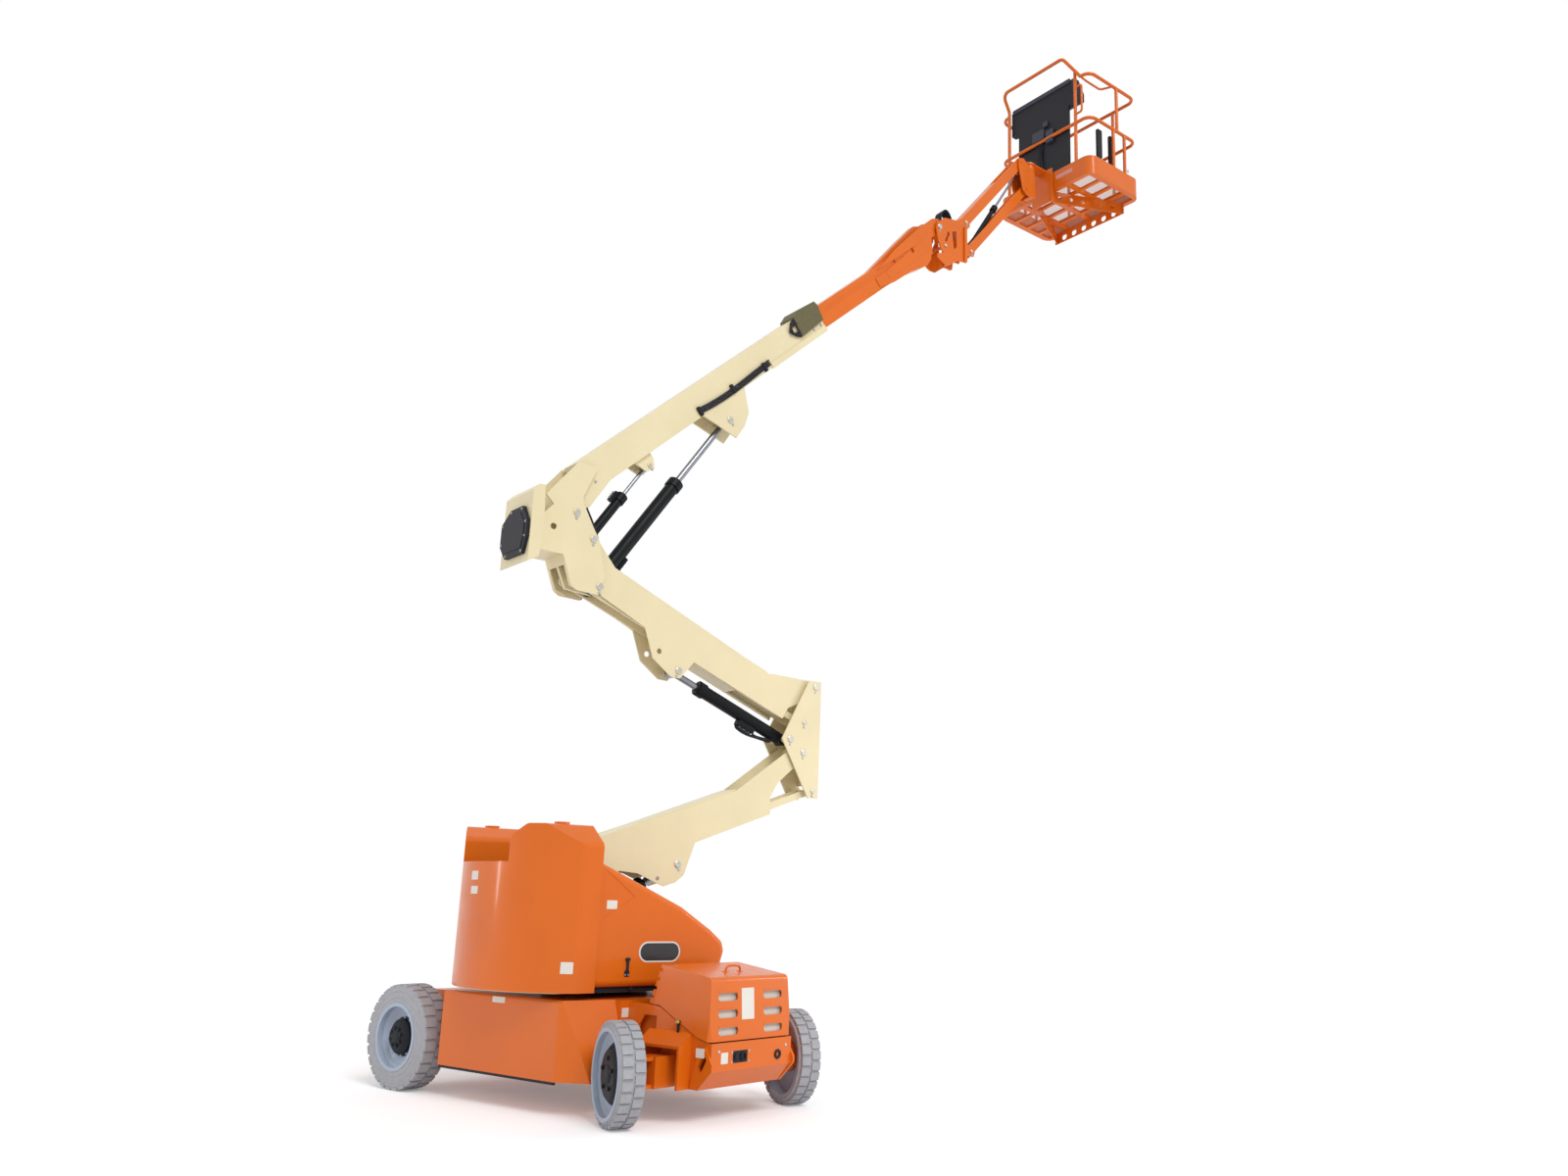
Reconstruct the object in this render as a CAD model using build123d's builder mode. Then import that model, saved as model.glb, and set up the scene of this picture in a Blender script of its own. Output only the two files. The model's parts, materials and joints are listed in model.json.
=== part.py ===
from build123d import *
from math import cos, sin, radians, degrees, atan2, hypot, pi
import os

os.makedirs("parts", exist_ok=True)

# Articulating boom lift, in millimetres. Origin: on the ground under the swing axis.
# +X is the way the chassis drives forward, +Y its left, +Z up. The turntable stands swung to one side.

# ---------------------------------------------------------------- driving dimensions
swing_angle = 78.0            # from chassis forward to boom forward, counter-clockwise from above
rear_axle_x = -1013.0
front_axle_x = 1050.0

front_tyre_r = 279.5
front_tyre_half = 65.0        # half the width of the tread
rear_tyre_r = 320.0
rear_tyre_half = 85.0
front_wheel_y = 676.0         # middle of the tread, wheels straight ahead
rear_wheel_y = 648.0
kingpin_y = 562.0
steer_right = 24.0            # both front wheels stand turned to the right
steer_left = 21.0
block_h = 9.0                 # height of a tread block
block_count = 28              # in one row round a tyre

deck_z = 632.0                # top of the chassis deck
belly_z = 190.0               # underside of the chassis
frame_half = 395.0            # half width of the chassis frame between the covers
frame_nose_half = 335.0       # half width of the frame under the front hood
cover_y = 700.0               # outer face of a side cover
plate = 10.0                  # usual steel plate
bearing_top_z = 668.0

arm_length = 2085.0           # between the pins of the lower arm, and of the mid arm
lower_angle = 20.0            # lower arm above level, rising forwards
mid_angle = 21.6              # mid arm above level, rising backwards
main_angle = 42.8             # main boom above level
jib_angle = 51.3              # jib arms above level
jib_length = 1240.0           # between the pins of a jib arm

lower_pin = (-447.0, 1559.0)  # on the turntable, forward and height
link_drop = 276.0             # a timing link runs this far under its arm's pins
link_step = 97.0
riser_rise = 498.0            # lower arm pin to mid arm pin on the riser
riser_step = 97.0
link_bar = 24.0               # half the depth of a timing link's bars

lower_half = 98.0             # half widths across the boom stack
mid_half = 88.0
riser_inner = 110.0
upright_inner = 118.0
upright_half = 130.0
rear_lug_half = 14.0          # middle lug of the upright
main_half = 92.0
fly_half = 68.0
jib_half = 50.0
bracket_inner = 88.0

pin_r = 24.0                  # main pins
small_pin_r = 16.0
bore_clear = 0.3              # radial clearance of a pin in its bore
gap = 6.0                     # side gap between plates that pass each other

# ---------------------------------------------------------------- frames along the boom stack
forward = Vector(cos(radians(swing_angle)), sin(radians(swing_angle)), 0)
right = Vector(sin(radians(swing_angle)), -cos(radians(swing_angle)), 0)
up = Vector(0, 0, 1)


def member(start, angle=0.0):
    """A plane across the boom stack: x runs along a member, y above it, z to the boom's right."""
    origin = forward * start[0] + up * start[1]
    along = forward * cos(radians(angle)) + up * sin(radians(angle))
    return Plane(origin=origin, x_dir=along, z_dir=right)


def further(start, angle, s, n=0.0):
    """The point s along and n above a member that starts at start and rises at angle."""
    a = radians(angle)
    return (start[0] + s * cos(a) - n * sin(a), start[1] + s * sin(a) + n * cos(a))


def outline(plane, points, radius=0.0):
    """A closed outline of straight edges, all corners rounded alike."""
    with BuildSketch(plane) as profile:
        with BuildLine():
            Polyline(*points, close=True)
        make_face()
        if radius:
            fillet(profile.vertices(), radius)
    return profile.sketch


def disc(plane, s, n, radius):
    with BuildSketch(plane) as profile:
        with Locations((s, n)):
            Circle(radius)
    return profile.sketch


def plates(plane, points, inner, outer, radius=0.0, mode=Mode.ADD):
    """The same plate on the right and on the left of the boom."""
    for side in (1, -1):
        face = outline(plane.offset(side * inner), points, radius)
        extrude(face, amount=side * (outer - inner), mode=mode)


def bosses(plane, s, n, radius, inner, outer, mode=Mode.ADD):
    """The same round boss, or bore, on both sides."""
    for side in (1, -1):
        extrude(disc(plane.offset(side * inner), s, n, radius), amount=side * (outer - inner), mode=mode)


def across(plane, s, n, radius, half, mode=Mode.ADD):
    """A round bar, or bore, straight through from side to side."""
    extrude(disc(plane, s, n, radius), amount=half, both=True, mode=mode)


def between(plane, points, half, radius=0.0, mode=Mode.ADD):
    """A solid block from side to side."""
    extrude(outline(plane, points, radius), amount=half, both=True, mode=mode)


def turned(plane, profile):
    """A turned piece on the x axis of the plane; profile gives (along, radius) points above the axis."""
    face = outline(plane, profile)
    revolve(face, axis=Axis(plane.origin, plane.x_dir))


def finish(builder, name):
    builder.part.label = name
    export_step(builder.part, f"parts/{name}.step")


# pins of the stack, each as (forward, height)
riser_low = further(lower_pin, lower_angle, arm_length)
riser_top = (riser_low[0] + riser_step, riser_low[1] + riser_rise)
upright_pin = further(riser_top, 180 - mid_angle, arm_length)
lower_link_base = (lower_pin[0] + link_step, lower_pin[1] - link_drop)
lower_link_end = (riser_low[0] + link_step, riser_low[1] - link_drop)
mid_link_base = (riser_top[0] - link_step, riser_top[1] - link_drop)
mid_link_end = (upright_pin[0] - link_step, upright_pin[1] - link_drop)
boom_pin = (upright_pin[0] - 137.0, upright_pin[1] + 159.0)
lift_base = (upright_pin[0] + 73.0, upright_pin[1] - 315.0)
lower_lift_base = (-380.0, 870.0)
mid_lift_base = (riser_low[0] - 124.0, riser_low[1] + 91.0)

lower = member(lower_pin, lower_angle)
mid = member(upright_pin, -mid_angle)
main = member(boom_pin, main_angle)
upright = member(upright_pin)
riser = member(riser_low)
table = member((0, 0))

lower_lug = (849.0, -440.0)      # rod pin on the lower arm, along and above its pin line
mid_lug = (990.0, -459.0)
main_lug = (1550.0, -93.0)
level_lug = (738.0, -28.0)
jib_lug = (1156.0, -62.0)

fly_tip = (4728.0, 235.0)        # jib bracket pin, along the main boom from its pivot
jib_pin = further(boom_pin, main_angle, *fly_tip)
jib_upper_pin = (jib_pin[0] + 329.0, jib_pin[1] + 165.0)
jib_lower_pin = (jib_pin[0] + 399.0, jib_pin[1] - 100.0)
head_upper_pin = further(jib_upper_pin, jib_angle, jib_length)
head_lower_pin = further(jib_lower_pin, jib_angle, jib_length)
rotator = (head_lower_pin[0] + 100.0, head_lower_pin[1] + 60.0)
bracket = member(jib_pin)
jib_upper = member(jib_upper_pin, jib_angle)
jib_lower = member(jib_lower_pin, jib_angle)
head = member(head_lower_pin)

# ---------------------------------------------------------------- wheels


def wheel_plane(x, y, z, turn, side):
    """A plane in the wheel's middle: its z axis points outwards along the axle."""
    a = radians(turn)
    left = Vector(sin(a), cos(a), 0)
    ahead = Vector(cos(a), -sin(a), 0)
    return Plane(origin=(x, y, z), x_dir=ahead, z_dir=left * side)


def steered_plane(side, turn):
    """Front wheel middle after turning about its kingpin."""
    a = radians(turn)
    reach = (front_wheel_y - kingpin_y) * side
    x = front_axle_x + reach * sin(a)
    y = kingpin_y * side + reach * cos(a)
    return wheel_plane(x, y, front_tyre_r, turn, side)


def tyre(plane, radius, half, rim_r):
    shoulder = 14.0
    base_r = radius - block_h
    section = Plane(origin=plane.origin, x_dir=plane.x_dir, z_dir=plane.y_dir * -1)
    with BuildPart() as body:
        with BuildSketch(section):
            with BuildLine():
                Polyline(
                    (rim_r, -half - 8),
                    (rim_r + 12, -half - 8),
                    (base_r - shoulder, -half),
                    (base_r, -half + 8),
                    (base_r, half - 8),
                    (base_r - shoulder, half),
                    (rim_r + 12, half + 8),
                    (rim_r, half + 8),
                    close=True,
                )
            make_face()
        revolve(axis=Axis(plane.origin, plane.z_dir))
        block_w = 2 * 3.1416 * radius / block_count * 0.74
        for row in (-1, 1):
            middle = row * (half / 2 + 2)
            start = 180.0 / block_count if row > 0 else 0.0
            with Locations(plane.offset(middle)):
                with PolarLocations(radius - block_h, block_count, start_angle=start):
                    Box(2 * block_h, block_w, half - 8)
    return body


def rim(plane, rim_r, half, dish, drum_r, drum_out):
    """A pressed rim, its disc set in by dish from the outer lip, with the hub drum in the middle."""
    section = Plane(origin=plane.origin, x_dir=plane.x_dir, z_dir=plane.y_dir * -1)
    lip = half + 12.0
    disc_at = lip - dish
    wall = rim_r - 8.0
    with BuildPart() as body:
        with BuildSketch(section):
            with BuildLine():
                Polyline(
                    (60, disc_at - 12),
                    (60, disc_at),
                    (drum_r + 30, disc_at),
                    (wall - 30, disc_at + 10),
                    (wall - 8, disc_at + 30),
                    (wall - 8, lip),
                    (rim_r + 6, lip),
                    (rim_r + 6, half + 8.3),
                    (rim_r - 0.3, half + 8.3),
                    (rim_r - 0.3, -half - 4),
                    (wall - 8, -half - 4),
                    (wall - 8, disc_at - 12),
                    close=True,
                )
            make_face()
        revolve(axis=Axis(plane.origin, plane.z_dir))
        with BuildSketch(section):
            with BuildLine():
                Polyline(
                    (0, disc_at + 0),
                    (0, disc_at + drum_out + 8),
                    (26, disc_at + drum_out + 4),
                    (40, disc_at + drum_out - 8),
                    (drum_r - 26, disc_at + drum_out - 8),
                    (drum_r, disc_at + drum_out - 30),
                    (drum_r, disc_at),
                    close=True,
                )
            make_face()
        revolve(axis=Axis(plane.origin, plane.z_dir))
    return body


right_front = steered_plane(-1, steer_right)
left_front = steered_plane(1, steer_left)
right_rear = wheel_plane(rear_axle_x, -rear_wheel_y, rear_tyre_r, 0, -1)
left_rear = wheel_plane(rear_axle_x, rear_wheel_y, rear_tyre_r, 0, 1)

front_rim_r = 0.848 * front_tyre_r
rear_rim_r = 0.626 * rear_tyre_r
wheels = (
    # name, plane, tyre radius, half tread, rim radius, dish, drum radius, drum length
    ("front_right", right_front, front_tyre_r, front_tyre_half, front_rim_r, 62.0, 152.0, 50.0),
    ("front_left", left_front, front_tyre_r, front_tyre_half, front_rim_r, 62.0, 152.0, 50.0),
    ("rear_right", right_rear, rear_tyre_r, rear_tyre_half, rear_rim_r, 70.0, 105.0, 60.0),
    ("rear_left", left_rear, rear_tyre_r, rear_tyre_half, rear_rim_r, 70.0, 105.0, 60.0),
)
for where, plane, radius, half, rim_r, dish, drum_r, drum_out in wheels:
    finish(tyre(plane, radius, half, rim_r), f"tyre_{where}")
    finish(rim(plane, rim_r, half, dish, drum_r, drum_out), f"rim_{where}")

# knuckle: a block on the kingpin and a spindle out to the drum
for where, side, turn, plane in (
    ("right", -1, steer_right, right_front),
    ("left", 1, steer_left, left_front),
):
    inboard = front_wheel_y - kingpin_y
    disc_at = front_tyre_half + 12.0 - 62.0
    with BuildPart() as knuckle:
        with BuildSketch(Plane.XY.offset(front_tyre_r - 60)):
            with Locations((front_axle_x, kingpin_y * side)):
                Circle(40)
        extrude(amount=120)
        with BuildSketch(plane.offset(-inboard)):
            Circle(38)
        extrude(amount=inboard + disc_at - 12.3)
        with BuildSketch(plane.offset(disc_at - 34)):
            Circle(90)
        extrude(amount=21.7)
        with BuildSketch(Plane.XY.offset(front_tyre_r - 61)):
            with Locations((front_axle_x, kingpin_y * side)):
                Circle(22 + bore_clear)
        extrude(amount=122, mode=Mode.SUBTRACT)
    finish(knuckle, f"knuckle_{where}")

# ---------------------------------------------------------------- chassis
front_beam_z = (front_tyre_r - 84, front_tyre_r + 84)
with BuildPart() as front_axle:
    # pads up to the housing
    with BuildSketch(Plane.XY.offset(front_beam_z[1] - 1)):
        with Locations((front_axle_x, 300), (front_axle_x, -300)):
            Rectangle(120, 80)
    extrude(amount=405 - front_beam_z[1] + 1)
    with BuildSketch(Plane.XY.offset(front_beam_z[0])):
        with Locations((front_axle_x, 0)):
            Rectangle(130, 2 * (kingpin_y - 62))
    extrude(amount=front_beam_z[1] - front_beam_z[0])
    for z0 in (front_beam_z[0], front_beam_z[1] - 22):
        with BuildSketch(Plane.XY.offset(z0)):
            for side in (-1, 1):
                with Locations((front_axle_x, side * (kingpin_y - 40))):
                    Rectangle(90, 80)
                with Locations((front_axle_x, side * kingpin_y)):
                    Circle(45)
        extrude(amount=22)
    for side in (-1, 1):
        with BuildSketch(Plane.XY.offset(front_beam_z[0] - 6)):
            with Locations((front_axle_x, side * kingpin_y)):
                Circle(22)
        extrude(amount=front_beam_z[1] - front_beam_z[0] + 12)
finish(front_axle, "front_axle")

rear_disc_in = rear_wheel_y - rear_tyre_half - 10
with BuildPart() as rear_axle:
    with BuildSketch(Plane.XZ.offset(-470)):
        with Locations((rear_axle_x, rear_tyre_r)):
            Circle(62)
    extrude(amount=940)
    for side in (-1, 1):
        with BuildSketch(Plane.XZ.offset(side * 470)):
            with Locations((rear_axle_x, rear_tyre_r)):
                Circle(110)
        extrude(amount=side * (rear_wheel_y + rear_tyre_half + 12 - 70 - 12.3 - 470))
finish(rear_axle, "rear_axle")

with BuildPart() as chassis_frame:
    # longitudinal tub, open below, between the covers
    with BuildSketch(Plane.XY.offset(belly_z)):
        with Locations((35, 0)):
            Rectangle(1310, 2 * frame_half)
    extrude(amount=deck_z - belly_z)
    with BuildSketch(Plane.XY.offset(belly_z)):
        with Locations((35, 0)):
            Rectangle(1310 - 2 * plate, 2 * (frame_half - plate))
    extrude(amount=deck_z - belly_z - plate, mode=Mode.SUBTRACT)
    # rear end between the drive wheels, with a saddle over the axle
    with BuildSketch(Plane.XY.offset(belly_z + 40)):
        with Locations((-895, 0)):
            Rectangle(550, 2 * frame_half)
    extrude(amount=deck_z - belly_z - 80)
    with BuildSketch(Plane.XZ.offset(-frame_half - 1)):
        with Locations((rear_axle_x, rear_tyre_r)):
            Circle(62.3)
    extrude(amount=2 * frame_half + 2, mode=Mode.SUBTRACT)
finish(chassis_frame, "chassis_frame")

cover_back_x = -595.0
cover_front_x = 505.0
for where, side in (("right", -1), ("left", 1)):
    inner_y = side * (frame_half + 0.5)
    outer_y = side * cover_y
    with BuildPart() as cover:
        with BuildSketch(Plane.XY.offset(belly_z)):
            with BuildLine():
                Polyline(
                    (cover_back_x, inner_y),
                    (cover_back_x, outer_y),
                    (cover_front_x, outer_y),
                    (700, side * 600),
                    (700, inner_y),
                    close=True,
                )
            make_face()
        extrude(amount=deck_z - belly_z)
        # the front end leans back towards the deck
        lean = Plane(origin=(cover_front_x + 15, outer_y, deck_z), x_dir=(0, 0, 1),
                     z_dir=Vector(0.92, side * 0.35, 0.30))
        with BuildSketch(lean):
            Rectangle(3000, 3000)
        extrude(amount=600, mode=Mode.SUBTRACT)
        fillet(cover.edges().filter_by(Axis.X).group_by(Axis.Z)[-1].sort_by(lambda e: abs(e.center().Y))[-1], 22)
    finish(cover, f"side_cover_{where}")
    with BuildPart() as strip:
        with BuildSketch(Plane.XY.offset(belly_z - 16)):
            with Locations(((cover_back_x + cover_front_x) / 2, side * (cover_y - 12))):
                Rectangle(cover_front_x - cover_back_x - 10, 16)
        extrude(amount=15.7)
    finish(strip, f"cover_strip_{where}")

# the power hood meets the front frame along a seam that falls towards the front
hood_rear_x = 865.0
hood_front_x = 1368.0
hood_top_front = (1342.0, 788.0)
hood_top_rear = (936.0, 843.0)
hood_low_half = 344.0
hood_top_half = 322.0
hood_corner = 30.0
hood_sheet = 5.0
seam_gap = 6.0
seam = [(805.0, 621.0), (950.0, 612.0), (1103.0, 538.0), (1272.0, 459.0), (1356.0, 440.0)]
tail_r = 880.0
swing_gap = 8.0               # between the swinging tail and what stands still
louvre_y = 189.0
louvre_long = 162.0
louvre_high = 46.0
louvre_levels = (499.0, 592.0, 683.0)
tooth_high = 18.0
tooth_deep = 22.0


def hood_block(inset, drop):
    """The hood as a full block: side view, plan with round front corners, and sides that lean in."""
    low = [(x, z + seam_gap - drop) for x, z in seam[1:]]
    with BuildPart() as hood:
        with BuildSketch(Plane.XZ) as side_view:
            with BuildLine():
                Polyline(
                    (hood_rear_x + inset, seam[0][1] + seam_gap - drop),
                    *low,
                    (hood_front_x - inset, seam[-1][1] + seam_gap - drop),
                    (hood_top_front[0] - inset, hood_top_front[1] - inset),
                    (hood_top_rear[0] + inset, hood_top_rear[1] - inset),
                    (hood_rear_x + inset, seam[0][1] + 2 * plate),
                    close=True,
                )
            make_face()
            fillet(side_view.vertices().sort_by(Axis.Y)[-2], hood_corner - inset)
        extrude(amount=hood_low_half, both=True)
        with BuildSketch(Plane.XY.offset(belly_z)):
            with Locations((hood_front_x - inset - 400, 0)):
                RectangleRounded(800, 2 * (hood_low_half - inset), hood_corner - inset)
        extrude(amount=900, mode=Mode.INTERSECT)
        with BuildSketch(Plane.YZ.offset(hood_rear_x)):
            with BuildLine():
                Polyline(
                    (-hood_low_half + inset, seam[-1][1] - drop),
                    (hood_low_half - inset, seam[-1][1] - drop),
                    (hood_top_half - inset, hood_top_rear[1]),
                    (-hood_top_half + inset, hood_top_rear[1]),
                    close=True,
                )
            make_face()
        extrude(amount=700, mode=Mode.INTERSECT)
    return hood.part


with BuildPart() as power_hood:
    add(hood_block(0, 0))
    add(hood_block(hood_sheet, 40), mode=Mode.SUBTRACT)
    # louvres in the front face
    with BuildSketch(Plane.YZ.offset(hood_front_x - 60)):
        with Locations(*[(side * louvre_y, z) for side in (-1, 1) for z in louvre_levels]):
            SlotOverall(louvre_long, louvre_high)
    extrude(amount=100, mode=Mode.SUBTRACT)
    # room for the swinging tail
    with BuildSketch(Plane.XY.offset(bearing_top_z - swing_gap)):
        Circle(tail_r + swing_gap)
    extrude(amount=300, mode=Mode.SUBTRACT)
    # hinge teeth down the rear edge
    edge_x = hood_top_rear[0] - hood_rear_x
    edge_z = hood_top_rear[1] - seam[0][1] - 2 * plate
    with BuildSketch(Plane.XZ):
        with Locations(*[(hood_rear_x + t * edge_x, seam[0][1] + 2 * plate + t * edge_z) for t in (0.1, 0.35, 0.6, 0.85)]):
            Rectangle(2 * tooth_deep, tooth_high)
    extrude(amount=hood_low_half + 1, both=True, mode=Mode.SUBTRACT)
finish(power_hood, "power_hood")

frame_wall = 12.0
nose_low_x = 1290.0
nose_mid = (1380.0, 290.0)
frame_back_x = 690.3          # against the front of the chassis frame
housing_x = (880.0, 1220.0)
housing_y = 430.0
housing_top = 420.0
housing_wall = 15.0
lug_slot = (1322.0, 330.0)
socket_y = (-161.0, -39.0)
socket_z = (327.0, 392.0)
recess = [(787.0, 386.0), (787.0, 500.0), (830.0, 560.0), (931.0, 560.0), (931.0, 386.0)]
with BuildPart() as front_frame:
    with BuildSketch(Plane.XZ):
        with BuildLine():
            Polyline(
                (frame_back_x, belly_z), (nose_low_x, belly_z), nose_mid, (nose_mid[0], seam[-1][1]),
                *reversed(seam), (frame_back_x, seam[0][1]), close=True,
            )
        make_face()
    extrude(amount=frame_nose_half, both=True)
    with BuildSketch(Plane.XZ):
        with BuildLine():
            Polyline(
                (frame_back_x - 1, belly_z - 1), (nose_low_x - 8, belly_z - 1),
                (nose_mid[0] - frame_wall, nose_mid[1] + 4), (nose_mid[0] - frame_wall, deck_z),
                (frame_back_x - 1, deck_z), close=True,
            )
        make_face()
    extrude(amount=frame_nose_half - frame_wall, both=True, mode=Mode.SUBTRACT)
    # housing of the front axle, open at both ends, with a sloped top up to the frame
    with BuildSketch(Plane.XZ):
        with Locations(((housing_x[0] + housing_x[1]) / 2, (belly_z + housing_top) / 2)):
            Rectangle(housing_x[1] - housing_x[0], housing_top - belly_z)
    extrude(amount=housing_y, both=True)
    for side in (-1, 1):
        with BuildSketch(Plane.YZ.offset(housing_x[0])):
            with BuildLine():
                Polyline(
                    (side * housing_y, housing_top - 1), (side * (frame_nose_half - 1), housing_top + 70),
                    (side * (frame_nose_half - 1), housing_top - 1), close=True,
                )
            make_face()
        extrude(amount=housing_x[1] - housing_x[0])
    with BuildSketch(Plane.XZ):
        with Locations(((housing_x[0] + housing_x[1]) / 2, (belly_z + housing_top) / 2 - housing_wall)):
            Rectangle(housing_x[1] - housing_x[0] - 2 * housing_wall, housing_top - belly_z)
    extrude(amount=housing_y + 1, both=True, mode=Mode.SUBTRACT)
    # floor under the power pack
    with BuildSketch(Plane.XY.offset(housing_top - housing_wall)):
        with Locations(((frame_back_x + nose_mid[0]) / 2, 0)):
            Rectangle(nose_mid[0] - frame_back_x - frame_wall, 2 * frame_nose_half - frame_wall)
    extrude(amount=housing_wall)
    # recess in each side, closed by a plate further in
    for side in (-1, 1):
        wall = Plane.XZ.offset(side * frame_nose_half)
        extrude(outline(wall, recess), amount=-side * 2 * frame_wall, mode=Mode.SUBTRACT)
        back = [(770, 412), (770, 590), (945, 590), (945, 412)]
        extrude(outline(wall.offset(-side * 4 * frame_wall), back), amount=side * plate)
    # blocks that carry the hood's hinge edge
    with BuildSketch(Plane.XY.offset(seam[0][1] - 30)):
        with Locations((hood_rear_x + 30, 302), (hood_rear_x + 30, -302)):
            Rectangle(40, 46)
    extrude(amount=30 + seam_gap - 1)
    # tie-down lug with an oval slot at each lower front corner
    lug = [(1235, belly_z + 10), (nose_low_x + 6, belly_z), (1400, 296), (1400, 330), (1340, 420), (1290, 400)]
    for side in (-1, 1):
        corner = Plane.XZ.offset(side * (frame_nose_half - 1))
        extrude(outline(corner, lug), amount=side * 14)
        with BuildSketch(corner.offset(-side * 20)):
            with Locations(Location((lug_slot[0], lug_slot[1], 0), (0, 0, 60))):
                SlotOverall(92, 40)
        extrude(amount=side * 40, mode=Mode.SUBTRACT)
    # hole for the charging socket
    with BuildSketch(Plane.YZ.offset(nose_mid[0] - 40)):
        with Locations(((socket_y[0] + socket_y[1]) / 2, (socket_z[0] + socket_z[1]) / 2)):
            RectangleRounded(socket_y[1] - socket_y[0], socket_z[1] - socket_z[0], 8)
    extrude(amount=60, mode=Mode.SUBTRACT)
finish(front_frame, "front_frame")

with BuildPart() as power_pack:
    with BuildSketch(Plane.XY.offset(420)):
        with Locations((1140, 0)):
            Rectangle(300, 520)
    extrude(amount=320)
finish(power_pack, "power_pack")

with BuildPart() as swing_bearing:
    with BuildSketch(Plane.XY.offset(deck_z)):
        Circle(330)
        Circle(240, mode=Mode.SUBTRACT)
    extrude(amount=bearing_top_z - 0.3 - deck_z)
finish(swing_bearing, "swing_bearing")

# ---------------------------------------------------------------- turntable
hood_side = 700.0
hood_floor = 672.0
pocket_half = 300.0
hood_wall = 6.0
with BuildPart() as turntable:
    with BuildSketch(Plane(origin=(0, 0, bearing_top_z), x_dir=forward, z_dir=up)):
        Circle(tail_r - hood_wall)
        with Locations((-200, 0)):
            Rectangle(1400, 1260, mode=Mode.INTERSECT)
    extrude(amount=32)
    floor_z = bearing_top_z + 32
    plates(
        table,
        [
            (-620, floor_z), (420, floor_z), (330, 900), (-150, 1120), (-300, 1330),
            (-390, 1620), (-505, 1620), (-560, 1480), (-600, 1000),
        ],
        riser_inner, riser_inner + 16,
    )
    for s, n, r in (
        (*lower_pin, pin_r), (*lower_link_base, small_pin_r), (*lower_lift_base, pin_r),
    ):
        across(table, s, n, r, riser_inner + 22)
finish(turntable, "turntable")

tail = Plane(origin=(0, 0, 0), x_dir=forward, z_dir=up)
with BuildPart() as counterweight:
    with BuildSketch(tail.offset(bearing_top_z + 32)):
        Circle(tail_r - 30)
        with Locations((400, 0)):
            Rectangle(2060, 3000, mode=Mode.SUBTRACT)
        with Locations((0, 1650)):
            Rectangle(3000, 2000, mode=Mode.SUBTRACT)
        with Locations((0, -1650)):
            Rectangle(3000, 2000, mode=Mode.SUBTRACT)
    extrude(amount=700)
finish(counterweight, "counterweight")

behind = Plane(origin=(0, 0, 0), x_dir=right, z_dir=forward * -1)


tail_corner = 90.0            # where the round tail turns into its flat sides
tail_front = -394.3
hump_top = 1635.0
hump_side = 1520.0
notch_floor = 1410.0
notch_half = 320.0
hump_round = 45.0


def tail_shell(inset, front):
    """The tail's rounded plan cut off at the sides and at the front, under the two humps."""
    wide = hood_side - inset
    top = hump_top - inset
    notch = notch_half + inset
    with BuildPart() as shell:
        with BuildSketch(tail.offset(hood_floor - 1 if inset else hood_floor)) as plan:
            Circle(tail_r - inset)
            with Locations((front - 1500, 0)):
                Rectangle(3000, 2 * wide, mode=Mode.INTERSECT)
            corners = [v for v in plan.vertices() if hypot(v.X, v.Y) > tail_r - inset - 1]
            fillet(corners, tail_corner - inset)
        extrude(amount=1100)
        with BuildSketch(behind) as humps:
            with BuildLine():
                Polyline(
                    (-wide, 600), (-wide, hump_side - inset), (-540, top), (-430, top), (-notch, 1560 - inset),
                    (-notch, notch_floor - inset), (notch, notch_floor - inset), (notch, 1560 - inset),
                    (430, top), (540, top), (wide, hump_side - inset), (wide, 600), close=True,
                )
            make_face()
            fillet(humps.vertices().sort_by(Axis.Y)[-8:], hump_round - inset)
        extrude(amount=1200, mode=Mode.INTERSECT)
    return shell.part


with BuildPart() as rear_hood:
    add(tail_shell(0, tail_front))
    add(tail_shell(hood_wall, tail_front + 14), mode=Mode.SUBTRACT)
    # nothing over the boom's tail between the humps
    with BuildSketch(tail.offset(notch_floor - 110)):
        Circle(tail_r - hood_wall)
        with Locations((tail_front - 186, 0)):
            Rectangle(800, 2 * notch_half - 12, mode=Mode.INTERSECT)
    extrude(amount=300, mode=Mode.SUBTRACT)
    # filler caps on the humps
    with BuildSketch(tail.offset(hump_top - 3)):
        with Locations((tail_front - 180, 485), (tail_front - 180, -485)):
            Circle(46)
    extrude(amount=17)
finish(rear_hood, "rear_hood")

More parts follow.
